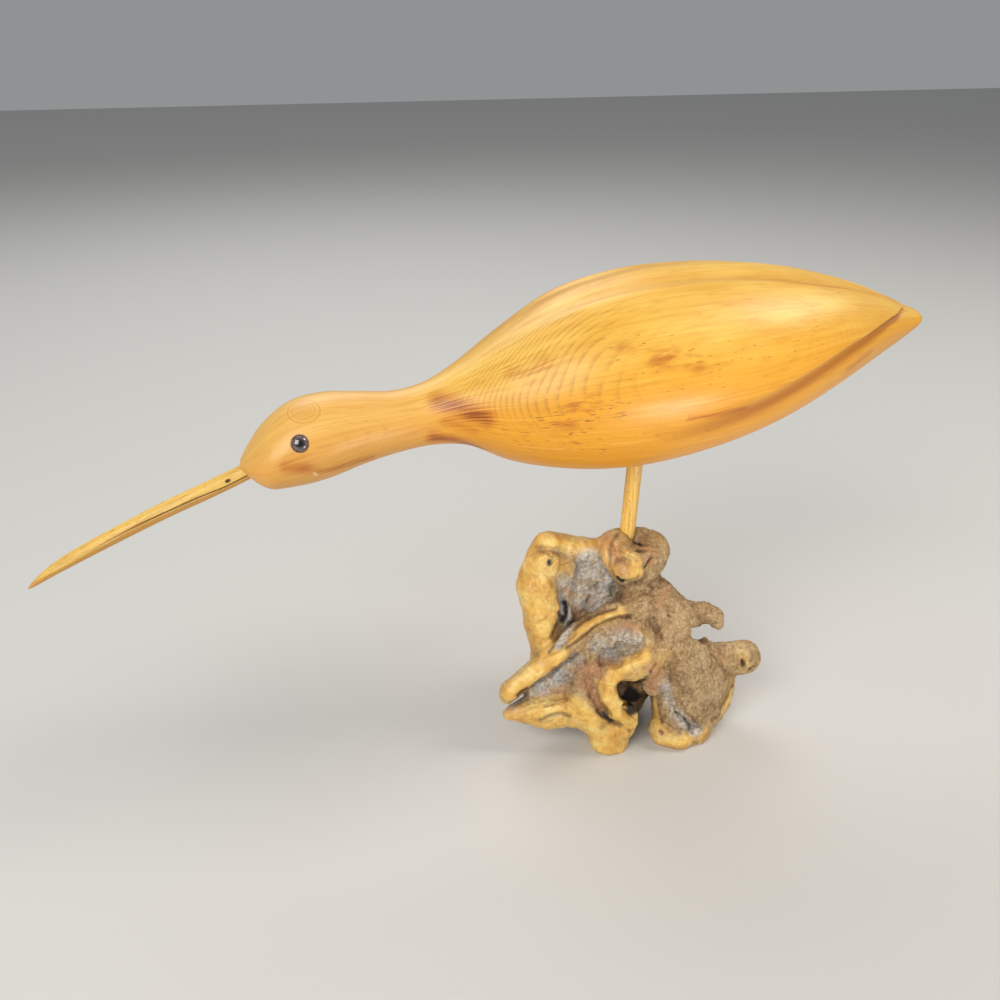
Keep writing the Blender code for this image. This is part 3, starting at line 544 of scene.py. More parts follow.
# A pale scratch under the chin.
BIRD_SCRATCH = (
    (0.07, 1.0, ((314, 473), (317, 475), (319, 482))),
)
BIRD_FLECKS = (
    (1.3, 0.85, ((545, 425), (580, 420), (610, 412))),
    (1.2, 0.75, ((500, 430), (540, 446), (600, 448))),
    (0.8, 0.7, ((560, 425), (572, 424))),
    (1.2, 0.6, ((636, 376), (655, 384), (690, 392))),
    (1.4, 0.55, ((600, 340), (660, 350), (700, 370), (760, 350))),
    (0.9, 0.5, ((790, 345), (830, 335))),
    (1.3, 0.45, ((640, 440), (700, 430), (760, 405))),
    (0.8, 0.4, ((360, 430), (400, 425))),
)


def smoothstep(low, high, value):
    t = min(max((value - low) / (high - low), 0.0), 1.0)
    return t * t * (3.0 - 2.0 * t)


def curve_through(points, x):
    """Height at x of a smooth curve through (x, y) points."""
    xs = [p[0] for p in points]
    ys = [p[1] for p in points]
    if x <= xs[0]:
        return ys[0]
    if x >= xs[-1]:
        return ys[-1]
    i = max(k for k in range(len(xs) - 1) if xs[k] <= x)

    def slope(k):
        if k == 0:
            return (ys[1] - ys[0]) / (xs[1] - xs[0])
        if k == len(xs) - 1:
            return (ys[-1] - ys[-2]) / (xs[-1] - xs[-2])
        before = xs[k] - xs[k - 1]
        after = xs[k + 1] - xs[k]
        fall = (ys[k] - ys[k - 1]) / before
        rise = (ys[k + 1] - ys[k]) / after
        return (fall * after + rise * before) / (before + after)

    run = xs[i + 1] - xs[i]
    t = (x - xs[i]) / run
    return (ys[i] * (1 + 2 * t) * (1 - t) ** 2 + slope(i) * run * t * (1 - t) ** 2
            + ys[i + 1] * t * t * (3 - 2 * t) + slope(i + 1) * run * t * t * (t - 1))


def station(table, column, x):
    return curve_through([(row[0], row[column]) for row in table], x)


def spread(start, end, count, ease=1.0):
    """Evenly eased values from start up to, but not including, end."""
    return [start + (end - start) * (k / count) ** ease for k in range(count)]


# Making and finishing pieces.


def loose_object(name, bm):
    """A working shape, to be finished, remeshed or used as a cutter."""
    mesh = bpy.data.meshes.new(name)
    bm.to_mesh(mesh)
    bm.free()
    made = bpy.data.objects.new(name, mesh)
    bpy.context.scene.collection.objects.link(made)
    return made


def piece(name, bm, node_names):
    """A finished mesh that rides on the body and stands for CAD nodes."""
    made = loose_object(name, bm)
    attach(made, "root")
    if node_names:
        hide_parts(*node_names)
    return made


def bake_modifiers(obj):
    """Replace the object's mesh with what its modifiers make of it."""
    bpy.context.view_layer.update()
    graph = bpy.context.evaluated_depsgraph_get()
    done = bpy.data.meshes.new_from_object(obj.evaluated_get(graph))
    obj.modifiers.clear()
    old = obj.data
    obj.data = done
    bpy.data.meshes.remove(old)


def discard(obj):
    mesh = obj.data
    bpy.data.objects.remove(obj)
    bpy.data.meshes.remove(mesh)


def cut(obj, cutter, solver="EXACT"):
    modifier = obj.modifiers.new("cut", "BOOLEAN")
    modifier.operation = "DIFFERENCE"
    modifier.solver = solver
    modifier.object = cutter
    bake_modifiers(obj)
    discard(cutter)


def shade(obj, material, angle=35.0):
    obj.data.materials.clear()
    obj.data.materials.append(material)
    obj.data.shade_smooth()
    obj.data.set_sharp_from_angle(angle=math.radians(angle))


def add_rod(bm, radius, start, end, sides=48):
    """A plain rod between two points, as a drill leaves it."""
    axis = end - start
    turn = axis.to_track_quat("Z", "Y").to_matrix().to_4x4()
    bmesh.ops.create_cone(bm, cap_ends=True, segments=sides, radius1=radius, radius2=radius,
                          depth=axis.length, matrix=Matrix.Translation((start + end) / 2) @ turn)


def drawn_ball(rings, start, end):
    """A ball drawn out until its rings lie on the given ones."""
    around = len(rings[0])
    bm = bmesh.new()
    bmesh.ops.create_uvsphere(bm, u_segments=around, v_segments=len(rings) + 1, radius=1.0)
    for vert in bm.verts:
        tilt = math.acos(min(max(vert.co.z, -1.0), 1.0)) / math.pi * (len(rings) + 1)
        ring = round(tilt)
        if ring == 0:
            vert.co = start
        elif ring == len(rings) + 1:
            vert.co = end
        else:
            turn = math.atan2(vert.co.y, vert.co.x) / (2.0 * math.pi) * around
            vert.co = rings[ring - 1][round(turn) % around]
    bmesh.ops.recalc_face_normals(bm, faces=bm.faces)
    return bm


def write_attribute(obj, name, values):
    attribute = obj.data.attributes.new(name, "FLOAT", "POINT")
    attribute.data.foreach_set("value", np.asarray(values, np.float32))


def write_vectors(obj, name, vectors):
    attribute = obj.data.attributes.new(name, "FLOAT_VECTOR", "POINT")
    attribute.data.foreach_set("vector", np.asarray(vectors, np.float32).ravel())


def vertex_places(obj):
    flat = np.empty(len(obj.data.vertices) * 3, np.float32)
    obj.data.vertices.foreach_get("co", flat)
    return flat.reshape(-1, 3).astype(float)


def vertex_normals(obj):
    flat = np.empty(len(obj.data.vertices) * 3, np.float32)
    obj.data.vertex_normals.foreach_get("vector", flat)
    return flat.reshape(-1, 3).astype(float)


def move_vertices(obj, places):
    obj.data.vertices.foreach_set("co", places.astype(np.float32).ravel())
    obj.data.update()


# The camera, which is also the hand that aims the strokes.


def set_camera():
    data = bpy.data.cameras.new("photo_camera")
    data.sensor_width = SENSOR
    data.lens = SENSOR * FOCAL_PIXELS / PHOTO_PIXELS
    data.clip_start = 0.01
    camera = bpy.data.objects.new("photo_camera", data)
    bpy.context.scene.collection.objects.link(camera)
    camera.matrix_world = (Matrix.Translation(CAMERA_PLACE) @ Matrix.Rotation(CAMERA_HEADING, 4, "Z")
                           @ Matrix.Rotation(CAMERA_PITCH, 4, "X")
                           @ Matrix.Rotation(CAMERA_ROLL, 4, "Z"))
    bpy.context.scene.camera = camera
    return camera.matrix_world.copy()


camera_matrix = set_camera()


def surface_under(tree, pixel):
    """The place on a piece that a pixel of the photograph shows."""
    u, v = pixel
    half = PHOTO_PIXELS / 2
    aim = Vector(((u - half) / FOCAL_PIXELS, (half - v) / FOCAL_PIXELS, -1.0))
    ray = (camera_matrix.to_3x3() @ aim).normalized()
    return tree.ray_cast(CAMERA_PLACE, ray)[0]


def distance_to_run(places, run):
    """Distance of every place from a line through the run's points."""
    nearest = np.full(len(places), 1e9)
    points = [np.array(p, float) for p in run]
    if len(points) == 1:
        return np.linalg.norm(places - points[0], axis=1)
    for a, b in zip(points[:-1], points[1:]):
        step = b - a
        t = np.clip((places - a) @ step / max(step @ step, 1e-12), 0.0, 1.0)
        away = np.linalg.norm(places - a - t[:, None] * step, axis=1)
        nearest = np.minimum(nearest, away)
    return nearest


def stroke(places, tree, radius, pixels):
    """Soft reach of a stroke, 1 on its line and 0 a radius away from it."""
    run = [surface_under(tree, pixel) for pixel in pixels]
    run = [hit for hit in run if hit is not None]
    if not run:
        return np.zeros(len(places))
    near = np.clip(1.0 - distance_to_run(places, run) / (radius * CM), 0.0, 1.0)
    return near * near * (3.0 - 2.0 * near)


def painted(places, tree, strokes):
    """The strongest of several strokes at every place."""
    mask = np.zeros(len(places))
    for radius, strength, pixels in strokes:
        mask = np.maximum(mask, strength * stroke(places, tree, radius, pixels))
    return mask


# Materials.


def linear(hex_colour):
    """An sRGB hex value as linear red, green, blue and alpha."""
    def channel(text):
        c = int(text, 16) / 255.0
        return c / 12.92 if c <= 0.04045 else ((c + 0.055) / 1.055) ** 2.4
    return (*[channel(hex_colour[k:k + 2]) for k in (0, 2, 4)], 1.0)


def node(tree, kind, inputs=(), stops=(), **settings):
    """Add a node with its own settings, its inputs, and the stops of a ramp."""
    made = tree.nodes.new(kind)
    for name, value in settings.items():
        setattr(made, name, value)
    for socket, value in dict(inputs).items():
        if isinstance(value, bpy.types.NodeSocket):
            tree.links.new(value, made.inputs[socket])
        elif isinstance(value, str):
            made.inputs[socket].default_value = linear(value)
        else:
            made.inputs[socket].default_value = value
    for k, (place, value) in enumerate(stops):
        ramp = made.color_ramp.elements
        stop = ramp[k] if k < 2 else ramp.new(place)
        stop.position = place
        stop.color = linear(value) if isinstance(value, str) else (value, value, value, 1.0)
    return made


def new_material(name):
    material = bpy.data.materials.new(name)
    material.use_nodes = True
    tree = material.node_tree
    return material, tree, tree.nodes["Principled BSDF"]


def drawn_noise(tree, length, width, detail, roughness=0.5):
    """Noise drawn out along the wood, the size of its features given in mm."""
    grain = node(tree, "ShaderNodeAttribute", attribute_name="lengthwise")
    sized = node(tree, "ShaderNodeMapping",
                 {"Vector": grain.outputs["Vector"],
                  "Scale": (PER_MM / length, PER_MM / width, PER_MM / width)})
    return node(tree, "ShaderNodeTexNoise",
                {"Vector": sized.outputs[0], "Scale": 1.0, "Detail": detail,
                 "Roughness": roughness}).outputs["Fac"]


def laid_over(tree, colour, layers):
    """Lay tones over a colour in turn. A layer has its pattern, the values of
    the pattern between which the tone comes up, how much of the tone shows
    there, and the tone. A pattern from 0 to 1 is a share as it stands."""
    for pattern, low, high, share, tone in layers:
        ramp = "LINEAR" if (low, high) == (0.0, 1.0) else "SMOOTHSTEP"
        part = node(tree, "ShaderNodeMapRange",
                    {"Value": pattern, "From Min": low, "From Max": high, "To Max": share},
                    interpolation_type=ramp)
        colour = node(tree, "ShaderNodeMix", {0: part.outputs[0], 6: colour, 7: tone},
                      data_type="RGBA").outputs[2]
    return colour


def lacquered_cypress():
    """Sanded softwood under satin lacquer: honey yellow above, deeper orange
    with painted shade below, with thin latewood lines that nest in arcs at the
    shoulder, fine fibres along the bird, and burnt streaks, blushes and flecks.
    Painted shade darkens the hollows and knife lines beside the wings, and a
    painted highlight pales the tail tip."""
    material, tree, shader = new_material("lacquered cypress")
    where = node(tree, "ShaderNodeTexCoord").outputs["Object"]
    mark = {name: node(tree, "ShaderNodeAttribute", attribute_name=name).outputs["Fac"]
            for name in ("streaks", "blush", "flecks", "knot", "crease", "cove", "figure",
                         "flank", "underside", "neck", "rim")}

    # Growth rings round a pith far off on the right side, 1.3 mm apart.
    drift = node(tree, "ShaderNodeTexNoise", {"Vector": where, "Scale": 17.0, "Detail": 2.0})
    pith = node(tree, "ShaderNodeMapping",
                {"Vector": where, "Location": (0.0, -0.15, -0.118), "Scale": (0.02, 1.0, 1.0)})
    reach = node(tree, "ShaderNodeVectorMath", {0: pith.outputs[0]}, operation="LENGTH")
    rings = node(tree, "ShaderNodeMath", {0: reach.outputs["Value"], 1: 760.0},
                 operation="MULTIPLY")
    rings = node(tree, "ShaderNodeMath", {0: drift.outputs["Fac"], 1: 6.0, 2: rings.outputs[0]},
                 operation="MULTIPLY_ADD")
    part = node(tree, "ShaderNodeMath", {0: rings.outputs[0]}, operation="FRACT")
    late = node(tree, "ShaderNodeValToRGB", {"Fac": part.outputs[0]},
                stops=((0.0, 0.0), (0.50, 0.12), (0.84, 1.0), (1.0, 0.0))).outputs[0]

    fibre = drawn_noise(tree, 30.0, 0.9, 5.0, 0.6)
    hair = drawn_noise(tree, 9.0, 0.35, 3.0)
    cloud = drawn_noise(tree, 38.0, 11.0, 3.0)
    tufts = drawn_noise(tree, 12.0, 2.6, 3.0)
    dashes = drawn_noise(tree, 3.4, 0.55, 1.0)

    # The rings and the blushes show in tufts, not evenly.
    figured = node(tree, "ShaderNodeMath", {0: late, 1: mark["figure"]}, operation="MULTIPLY")
    tufted = [node(tree, "ShaderNodeMapRange",
                   {"Value": tufts, "From Min": low, "From Max": high, "To Max": top},
                   interpolation_type="SMOOTHSTEP").outputs[0]
              for low, high, top in ((0.30, 0.60, 0.58), (0.36, 0.56, 1.0))]
    arcs = node(tree, "ShaderNodeMath", {0: figured.outputs[0], 1: tufted[0]},
                operation="MULTIPLY")
    blushed = node(tree, "ShaderNodeMath", {0: mark["blush"], 1: tufted[1]},
                   operation="MULTIPLY")
    # Only the strongest fibres are burnt where a mark fades, so it ends in points.
    burnt = node(tree, "ShaderNodeMath", {0: fibre, 1: 1.5, 2: mark["streaks"]},
                 operation="MULTIPLY_ADD")
    burnt = node(tree, "ShaderNodeMath", {0: hair, 1: 1.1, 2: burnt.outputs[0]},
                 operation="MULTIPLY_ADD")
    limit = node(tree, "ShaderNodeMapRange",
                 {"Value": mark["flecks"], "To Min": 0.76, "To Max": 0.57})
    flecked = node(tree, "ShaderNodeMath", {0: dashes, 1: limit.outputs[0]},
                   operation="SUBTRACT")
    knot = node(tree, "ShaderNodeValToRGB", {"Fac": mark["knot"]},
                stops=((0.0, 0.0), (0.26, 0.0), (0.34, 0.75), (0.40, 0.15), (0.60, 0.10),
                       (0.68, 0.55), (0.76, 0.20), (1.0, 0.35)))

    colour = node(tree, "ShaderNodeValToRGB", {"Fac": cloud},
                  stops=((0.30, "DBA43C"), (0.50, "E3B24A"), (0.72, "EBC25E"))).outputs[0]
    colour = laid_over(tree, colour, (
        # Deeper orange lower on the body, with painted shade: over the flank, and more over the
        # underside.
        (mark["flank"], 0.0, 1.0, 1.0, "DE9A24"),
        (mark["underside"], 0.0, 1.0, 1.0, "D48A08"),
        (mark["neck"], 0.0, 1.0, 0.5, "D9A764"),
        (tufts, 0.50, 0.75, 0.35, "CB8418"),
        (arcs.outputs[0], 0.0, 1.0, 1.0, "A96C20"),
        (fibre, 0.46, 0.70, 0.30, "BC7820"),
        (fibre, 0.47, 0.30, 0.20, "F0C870"),
        (blushed.outputs[0], 0.0, 1.0, 1.0, "B4621C"),
        (burnt.outputs[0], 1.60, 2.25, 0.60, "B45A12"),
        (burnt.outputs[0], 2.12, 2.50, 0.85, "7C3408"),
        (flecked.outputs[0], 0.0, 0.07, 0.70, "8E4E1A"),
        (knot.outputs[0], 0.0, 1.0, 0.75, "B4701F"),
        # Painted shade in the hollows beside the wing edges.
        (mark["cove"], 0.0, 1.0, 0.85, "A05A12"),
        # Painted shade in the knife lines round the rear of the wing.
        (mark["crease"], 0.0, 1.0, 1.0, "6F3F14"),
        # Painted highlight round the tail tip, and the real pale scratch under the chin.
        (mark["rim"], 0.0, 1.0, 1.0, "F0D6A0"),
    ))
    tree.links.new(colour, shader.inputs["Base Color"])
    rough = node(tree, "ShaderNodeMapRange", {"Value": fibre, "To Min": 0.32, "To Max": 0.50})
    tree.links.new(rough.outputs[0], shader.inputs["Roughness"])
    raised = node(tree, "ShaderNodeMath", {0: late, 1: 0.30, 2: fibre}, operation="MULTIPLY_ADD")
    raised = node(tree, "ShaderNodeMath", {0: hair, 1: 0.40, 2: raised.outputs[0]},
                  operation="MULTIPLY_ADD")
    bump = node(tree, "ShaderNodeBump", {"Height": raised.outputs[0], "Strength": 0.14,
                                         "Distance": 0.0004})
    tree.links.new(bump.outputs[0], shader.inputs["Normal"])
    shader.inputs["Specular IOR Level"].default_value = 0.35
    shader.inputs["Coat Weight"].default_value = 0.20
    shader.inputs["Coat Roughness"].default_value = 0.34
    return material


def straight_grained(name, light, dark, below, streak, rough):
    """Straight-grained stick wood with a thin finish: soft bands and open pores
    that run along the stick, a duller tone on one side, which on the bill is
    painted shade under the mouth line, and painted shade in the grooves."""
    material, tree, shader = new_material(name)
    fibre = drawn_noise(tree, 26.0, 0.8, 4.0, 0.6)
    pore = drawn_noise(tree, 2.6, 0.34, 1.0, 0.6)
    dash = node(tree, "ShaderNodeMapRange", {"Value": pore, "From Min": 0.60, "From Max": 0.70,
                                             "To Max": 0.50})
    under = node(tree, "ShaderNodeAttribute", attribute_name="underside")
    groove = node(tree, "ShaderNodeAttribute", attribute_name="crease")
    colour = node(tree, "ShaderNodeValToRGB", {"Fac": fibre},
                  stops=((0.34, dark), (0.50, light), (0.75, light))).outputs[0]
    colour = laid_over(tree, colour, (
        # A duller tone on one side: on the bill, painted shade under the mouth line.
        (under.outputs["Fac"], 0.0, 1.0, 1.0, below),
        (dash.outputs[0], 0.0, 1.0, 1.0, streak),
        # Painted shade in the bill's mouth groove and nostrils.
        (groove.outputs["Fac"], 0.0, 1.0, 1.0, "4A2A12"),
    ))
    tree.links.new(colour, shader.inputs["Base Color"])
    shader.inputs["Roughness"].default_value = rough
    raised = node(tree, "ShaderNodeMath", {0: pore, 1: -0.5, 2: fibre}, operation="MULTIPLY_ADD")
    bump = node(tree, "ShaderNodeBump", {"Height": raised.outputs[0], "Strength": 0.30,
                                         "Distance": 0.0003})
    tree.links.new(bump.outputs[0], shader.inputs["Normal"])
    return material


def root_burl_wood():
    """Waxed root burl: honey yellow where it is polished, sandy with pits where
    the bark came off, grey and furrowed in the hollows, and rusty between.
    Painted shade darkens the pits, the narrow gouges and places that nearby
    wood hides, and is nearly black deep in the hollows and cracks."""
    material, tree, shader = new_material("waxed root burl")
    where = node(tree, "ShaderNodeTexCoord").outputs["Object"]
    mark = {name: node(tree, "ShaderNodeAttribute", attribute_name=name).outputs["Fac"]
            for name in ("waxed", "weathered", "rusty", "pitted", "creased", "sheltered",
                         "sunken")}
    # Features in mm, with the detail and the roughness of their noise.
    lumps, patches, grit, grains = [
        node(tree, "ShaderNodeTexNoise", {"Vector": where, "Scale": PER_MM / size,
                                          "Detail": detail, "Roughness": rough}).outputs["Fac"]
        for size, detail, rough in ((9.0, 5.0, 0.6), (4.0, 4.0, 0.6), (1.5, 4.0, 0.7),
                                    (0.6, 2.0, 0.6))]
    fibre = drawn_noise(tree, 9.0, 0.7, 4.0, 0.6)

    # Patches and fibres tear the edges of the painted marks.
    torn = {}
    for name in ("waxed", "weathered", "rusty"):
        patchy = node(tree, "ShaderNodeMath", {0: patches, 1: 0.8, 2: mark[name]},
                      operation="MULTIPLY_ADD")
        torn[name] = node(tree, "ShaderNodeMath", {0: fibre, 1: 0.5, 2: patchy.outputs[0]},
                          operation="MULTIPLY_ADD").outputs[0]
    waxed = node(tree, "ShaderNodeMapRange",
                 {"Value": torn["waxed"], "From Min": 0.85, "From Max": 1.50},
                 interpolation_type="SMOOTHSTEP").outputs[0]

    wax = node(tree, "ShaderNodeValToRGB", {"Fac": lumps},
               stops=((0.30, "CA953E"), (0.46, "E2B252"), (0.66, "F2D27C"))).outputs[0]
    wax = laid_over(tree, wax, (
        (patches, 0.50, 0.68, 0.50, "B9783A"),
        (fibre, 0.54, 0.68, 0.32, "A96C2E"),
        (grit, 0.42, 0.30, 0.35, "A06A30"),
    ))
    sand = node(tree, "ShaderNodeValToRGB", {"Fac": lumps},
                stops=((0.32, "90744E"), (0.48, "B09064"), (0.66, "C6A97E"))).outputs[0]
    sand = laid_over(tree, sand, (
        (patches, 0.50, 0.66, 0.55, "92714A"),
        (grit, 0.50, 0.66, 0.65, "DCC49A"),
        (grit, 0.44, 0.34, 0.70, "5A452E"),
        (grains, 0.46, 0.34, 0.45, "644E34"),
    ))
    grey = node(tree, "ShaderNodeValToRGB", {"Fac": grit},
                stops=((0.34, "968A7A"), (0.48, "BAAE9E"), (0.62, "DAD1C4"))).outputs[0]
    grey = laid_over(tree, grey, (
        (lumps, 0.48, 0.60, 0.50, "B2B3B8"),
        (patches, 0.50, 0.62, 0.65, "B0925F"),
        (patches, 0.44, 0.34, 0.45, "776B60"),
        (fibre, 0.46, 0.34, 0.35, "625446"),
    ))
    colour = laid_over(tree, sand, (
        (waxed, 0.0, 1.0, 1.0, wax),
        # Painted shade, orange-brown, where nearby wood hides part of the sky.
        (mark["sheltered"], 0.0, 1.0, 0.45, "8A5A30"),
        (torn["weathered"], 0.95, 1.50, 1.0, grey),
        (torn["rusty"], 0.80, 1.50, 0.55, "C08660"),
        # Painted shade in the pits of the bare wood.
        (mark["pitted"], 0.0, 1.0, 1.0, "4E3824"),
        # Painted shade in the narrow gouges.
        (mark["creased"], 0.0, 1.0, 0.72, "4E301A"),
        # Painted shade, nearly black, deep in the hollows, the cracks and where nearby wood hides
        # most of the sky.
        (mark["sunken"], 0.0, 1.0, 1.0, "140D09"),
    ))
    tree.links.new(colour, shader.inputs["Base Color"])
    rough = node(tree, "ShaderNodeMapRange", {"Value": waxed, "To Min": 0.80, "To Max": 0.36})
    tree.links.new(rough.outputs[0], shader.inputs["Roughness"])
    coat = node(tree, "ShaderNodeMath", {0: waxed, 1: 0.35}, operation="MULTIPLY")
    tree.links.new(coat.outputs[0], shader.inputs["Coat Weight"])
    shader.inputs["Coat Roughness"].default_value = 0.28
    # Bare wood is the coarsest, with furrows between its fibres.
    height = node(tree, "ShaderNodeMath", {0: grains, 1: 0.4, 2: grit}, operation="MULTIPLY_ADD")
    coarse = node(tree, "ShaderNodeMath", {0: 1.40, 1: waxed}, operation="SUBTRACT")
    height = node(tree, "ShaderNodeMath", {0: height.outputs[0], 1: coarse.outputs[0]},
                  operation="MULTIPLY")
    for pattern, share in ((fibre, -0.5), (patches, 0.8)):
        height = node(tree, "ShaderNodeMath", {0: pattern, 1: share, 2: height.outputs[0]},
                      operation="MULTIPLY_ADD")
    bump = node(tree, "ShaderNodeBump", {"Height": height.outputs[0], "Strength": 0.85,
                                         "Distance": 0.0010})
    tree.links.new(bump.outputs[0], shader.inputs["Normal"])
    return material


def glass_eye():
    """A domed glass eye: black pupil, smoky lilac ring, brown rim, high gloss."""
    material, tree, shader = new_material("domed glass eye")
    reach = node(tree, "ShaderNodeAttribute", attribute_name="from_middle")
    tone = node(tree, "ShaderNodeValToRGB", {"Fac": reach.outputs["Fac"]},
                stops=((0.0, "0A0809"), (0.36, "0F0C0E"), (0.54, "3E343A"), (0.74, "63565C"),
                       (0.90, "5A4A4A"), (1.0, "3A2A24")))
    tree.links.new(tone.outputs[0], shader.inputs["Base Color"])
    shader.inputs["Roughness"].default_value = 0.12
    shader.inputs["Coat Weight"].default_value = 1.0
    shader.inputs["Coat Roughness"].default_value = 0.03
    return material


def eye_putty():
    """The filler that beds the eye: matt brown, with a pinkish mottle."""
    material, tree, shader = new_material("eye bedding putty")
    where = node(tree, "ShaderNodeTexCoord").outputs["Object"]
    mottle = node(tree, "ShaderNodeTexNoise", {"Vector": where, "Scale": 1500.0, "Detail": 3.0})
    tone = node(tree, "ShaderNodeValToRGB", {"Fac": mottle.outputs["Fac"]},
                stops=((0.35, "4A2E20"), (0.65, "946A54")))
    tree.links.new(tone.outputs[0], shader.inputs["Base Color"])
    shader.inputs["Roughness"].default_value = 0.7
    return material


def studio_floor():
    """Seamless pale grey paper, matt."""
    material, _, shader = new_material("pale studio paper")
    shader.inputs["Base Color"].default_value = linear("C6C5C2")
    shader.inputs["Roughness"].default_value = 0.9
    return material


# The bird.


def end_rounding(x):
    """Factor that closes the head and the tail with round ends."""
    nose = (BIRD_STATIONS[0][0] + FOREHEAD_ROUND - x) / FOREHEAD_ROUND
    tail = (x - BIRD_STATIONS[-1][0] + TAIL_ROUND) / TAIL_ROUND
    nose = min(max(nose, 0.0), 1.0)
    tail = min(max(tail, 0.0), 1.0)
    return math.sqrt(1.0 - nose * nose) * math.sqrt(1.0 - tail * tail)


def edge_half_step(x):
    return EDGE_SOFT + (EDGE_CRISP - EDGE_SOFT) * smoothstep(1.0, 9.5, x)


def crease_depth(x, angle, low, up):
    """How deep in the knife line round the rear of the wing, 0 to 1."""
    e = edge_half_step(x)
    ends = 1.0 - smoothstep(WING_TIP_X - 0.1, WING_TIP_X + 0.1, x)
    below = smoothstep(*LOWER_CREASE, x) * ends
    above = smoothstep(*UPPER_CREASE, x) * ends
    crease = max(below * math.exp(-((angle - low + e) / CREASE_WIDTH) ** 2),
                 above * math.exp(-((angle - up - e) / CREASE_WIDTH) ** 2))
    past = math.exp(-((x - WING_TIP_X - TIP_STEP) / TIP_CREASE) ** 2)
    on_wing = smoothstep(low - 2 * e, low + e, angle) * (1.0 - smoothstep(up - e, up + 2 * e, angle))
    return max(crease, past * on_wing)


def wing_relief(x, angle, low, up):
    """Carved height over the plain body, in cm."""
    e = edge_half_step(x)
    upper = smoothstep(*UPPER_FADE, x)
    lower = smoothstep(*LOWER_FADE, x)
    on_wing = (smoothstep(low - e, low + e, angle) * (1.0 - smoothstep(up - e, up + e, angle))
               * (1.0 - smoothstep(WING_TIP_X - TIP_STEP, WING_TIP_X + TIP_STEP, x)))
    share = min(max((angle - low) / (up - low), 0.0), 1.0)
    raised = WING_RAISE * (lower + (upper - lower) * share)
    open_end = 1.0 - smoothstep(*TIP_FADE, x)
    above = upper * math.exp(-(max(angle - up, 0.0) / COVE_SPREAD) ** 2) if share > 0.5 else 0.0
    below = lower * math.exp(-(max(low - angle, 0.0) / COVE_SPREAD) ** 2) if share <= 0.5 else 0.0
    hollow = -COVE_DEPTH * (above + below) * open_end
    groove = CREASE_DEPTH * crease_depth(x, angle, low, up)
    return hollow * (1.0 - on_wing) + raised * on_wing - groove


def half_angles(x, low, up):
    """Ring angles from the keel up one side to the spine."""
    e = edge_half_step(x)
    belly, step_low, wing, step_up, back = COLUMNS
    angles = spread(-90.0, low - 1.6 * e, belly, 0.85)
    angles += spread(low - 1.6 * e, low + 1.6 * e, step_low)
    angles += spread(low + 1.6 * e, up - 1.6 * e, wing)
    angles += spread(up - 1.6 * e, up + 1.6 * e, step_up)
    angles += spread(up + 1.6 * e, 90.0, back)
    return angles + [90.0]


def bird_ring(x):
    """One cross-section of the bird, as places in metres."""
    closing = end_rounding(x)
    top = station(BIRD_STATIONS, 1, x)
    bottom = station(BIRD_STATIONS, 2, x)
    width = station(BIRD_STATIONS, 3, x) * closing
    height = 0.5 * (top - bottom) * closing
    middle = 0.5 * (top + bottom)
    low = curve_through(LOWER_EDGE, x)
    up = curve_through(UPPER_EDGE, x)
    half = []
    for angle in half_angles(x, low, up):
        a = math.radians(angle)
        normal = Vector((math.cos(a) * height, math.sin(a) * width)).normalized()
        lift = wing_relief(x, angle, low, up)
        half.append((width * math.cos(a) + normal.x * lift, height * math.sin(a) + normal.y * lift))
    half[0] = (0.0, half[0][1])
    half[-1] = (0.0, half[-1][1])
    near = [Vector((x, -y, middle + z)) * CM for y, z in half]
    far = [Vector((x, y, middle + z)) * CM for y, z in reversed(half[1:-1])]
    return near + far


def bird_ring_places():
    """Ring positions, closer together at both ends and at the wing tip."""
    first = BIRD_STATIONS[0][0]
    last = BIRD_STATIONS[-1][0]
    places = []
    for k in range(1, BIRD_RINGS):
        t = k / BIRD_RINGS
        eased = 0.35 * t + 0.65 * (0.5 - 0.5 * math.cos(math.pi * t))
        places.append(first + (last - first) * eased)
    places += [first + 0.003, first + 0.012, first + 0.03, last - 0.012, last - 0.003]
    places += [WING_TIP_X + TIP_STEP * k / 2.0 + 0.001 for k in range(-3, 5)]
    return sorted(places)


def place_on_ring(place):
    """Where a place on the bird lies: x in cm, and the angle up the flank."""
    x = place[0] / CM
    middle = 0.5 * (station(BIRD_STATIONS, 1, x) + station(BIRD_STATIONS, 2, x))
    height = 0.5 * (station(BIRD_STATIONS, 1, x) - station(BIRD_STATIONS, 2, x))
    across = abs(place[1]) / CM / station(BIRD_STATIONS, 3, x)
    return x, math.degrees(math.atan2((place[2] / CM - middle) / height, across))


def mirrored(places):
    """Far-side places brought to the near side, a little towards the bill,
    so that the marks of the near side aren't repeated in mirror image."""
    turned = places.copy()
    far = turned[:, 1] > 0.0
    turned[far, 1] *= -1.0
    turned[far, 0] -= FAR_SHIFT * CM
    return turned


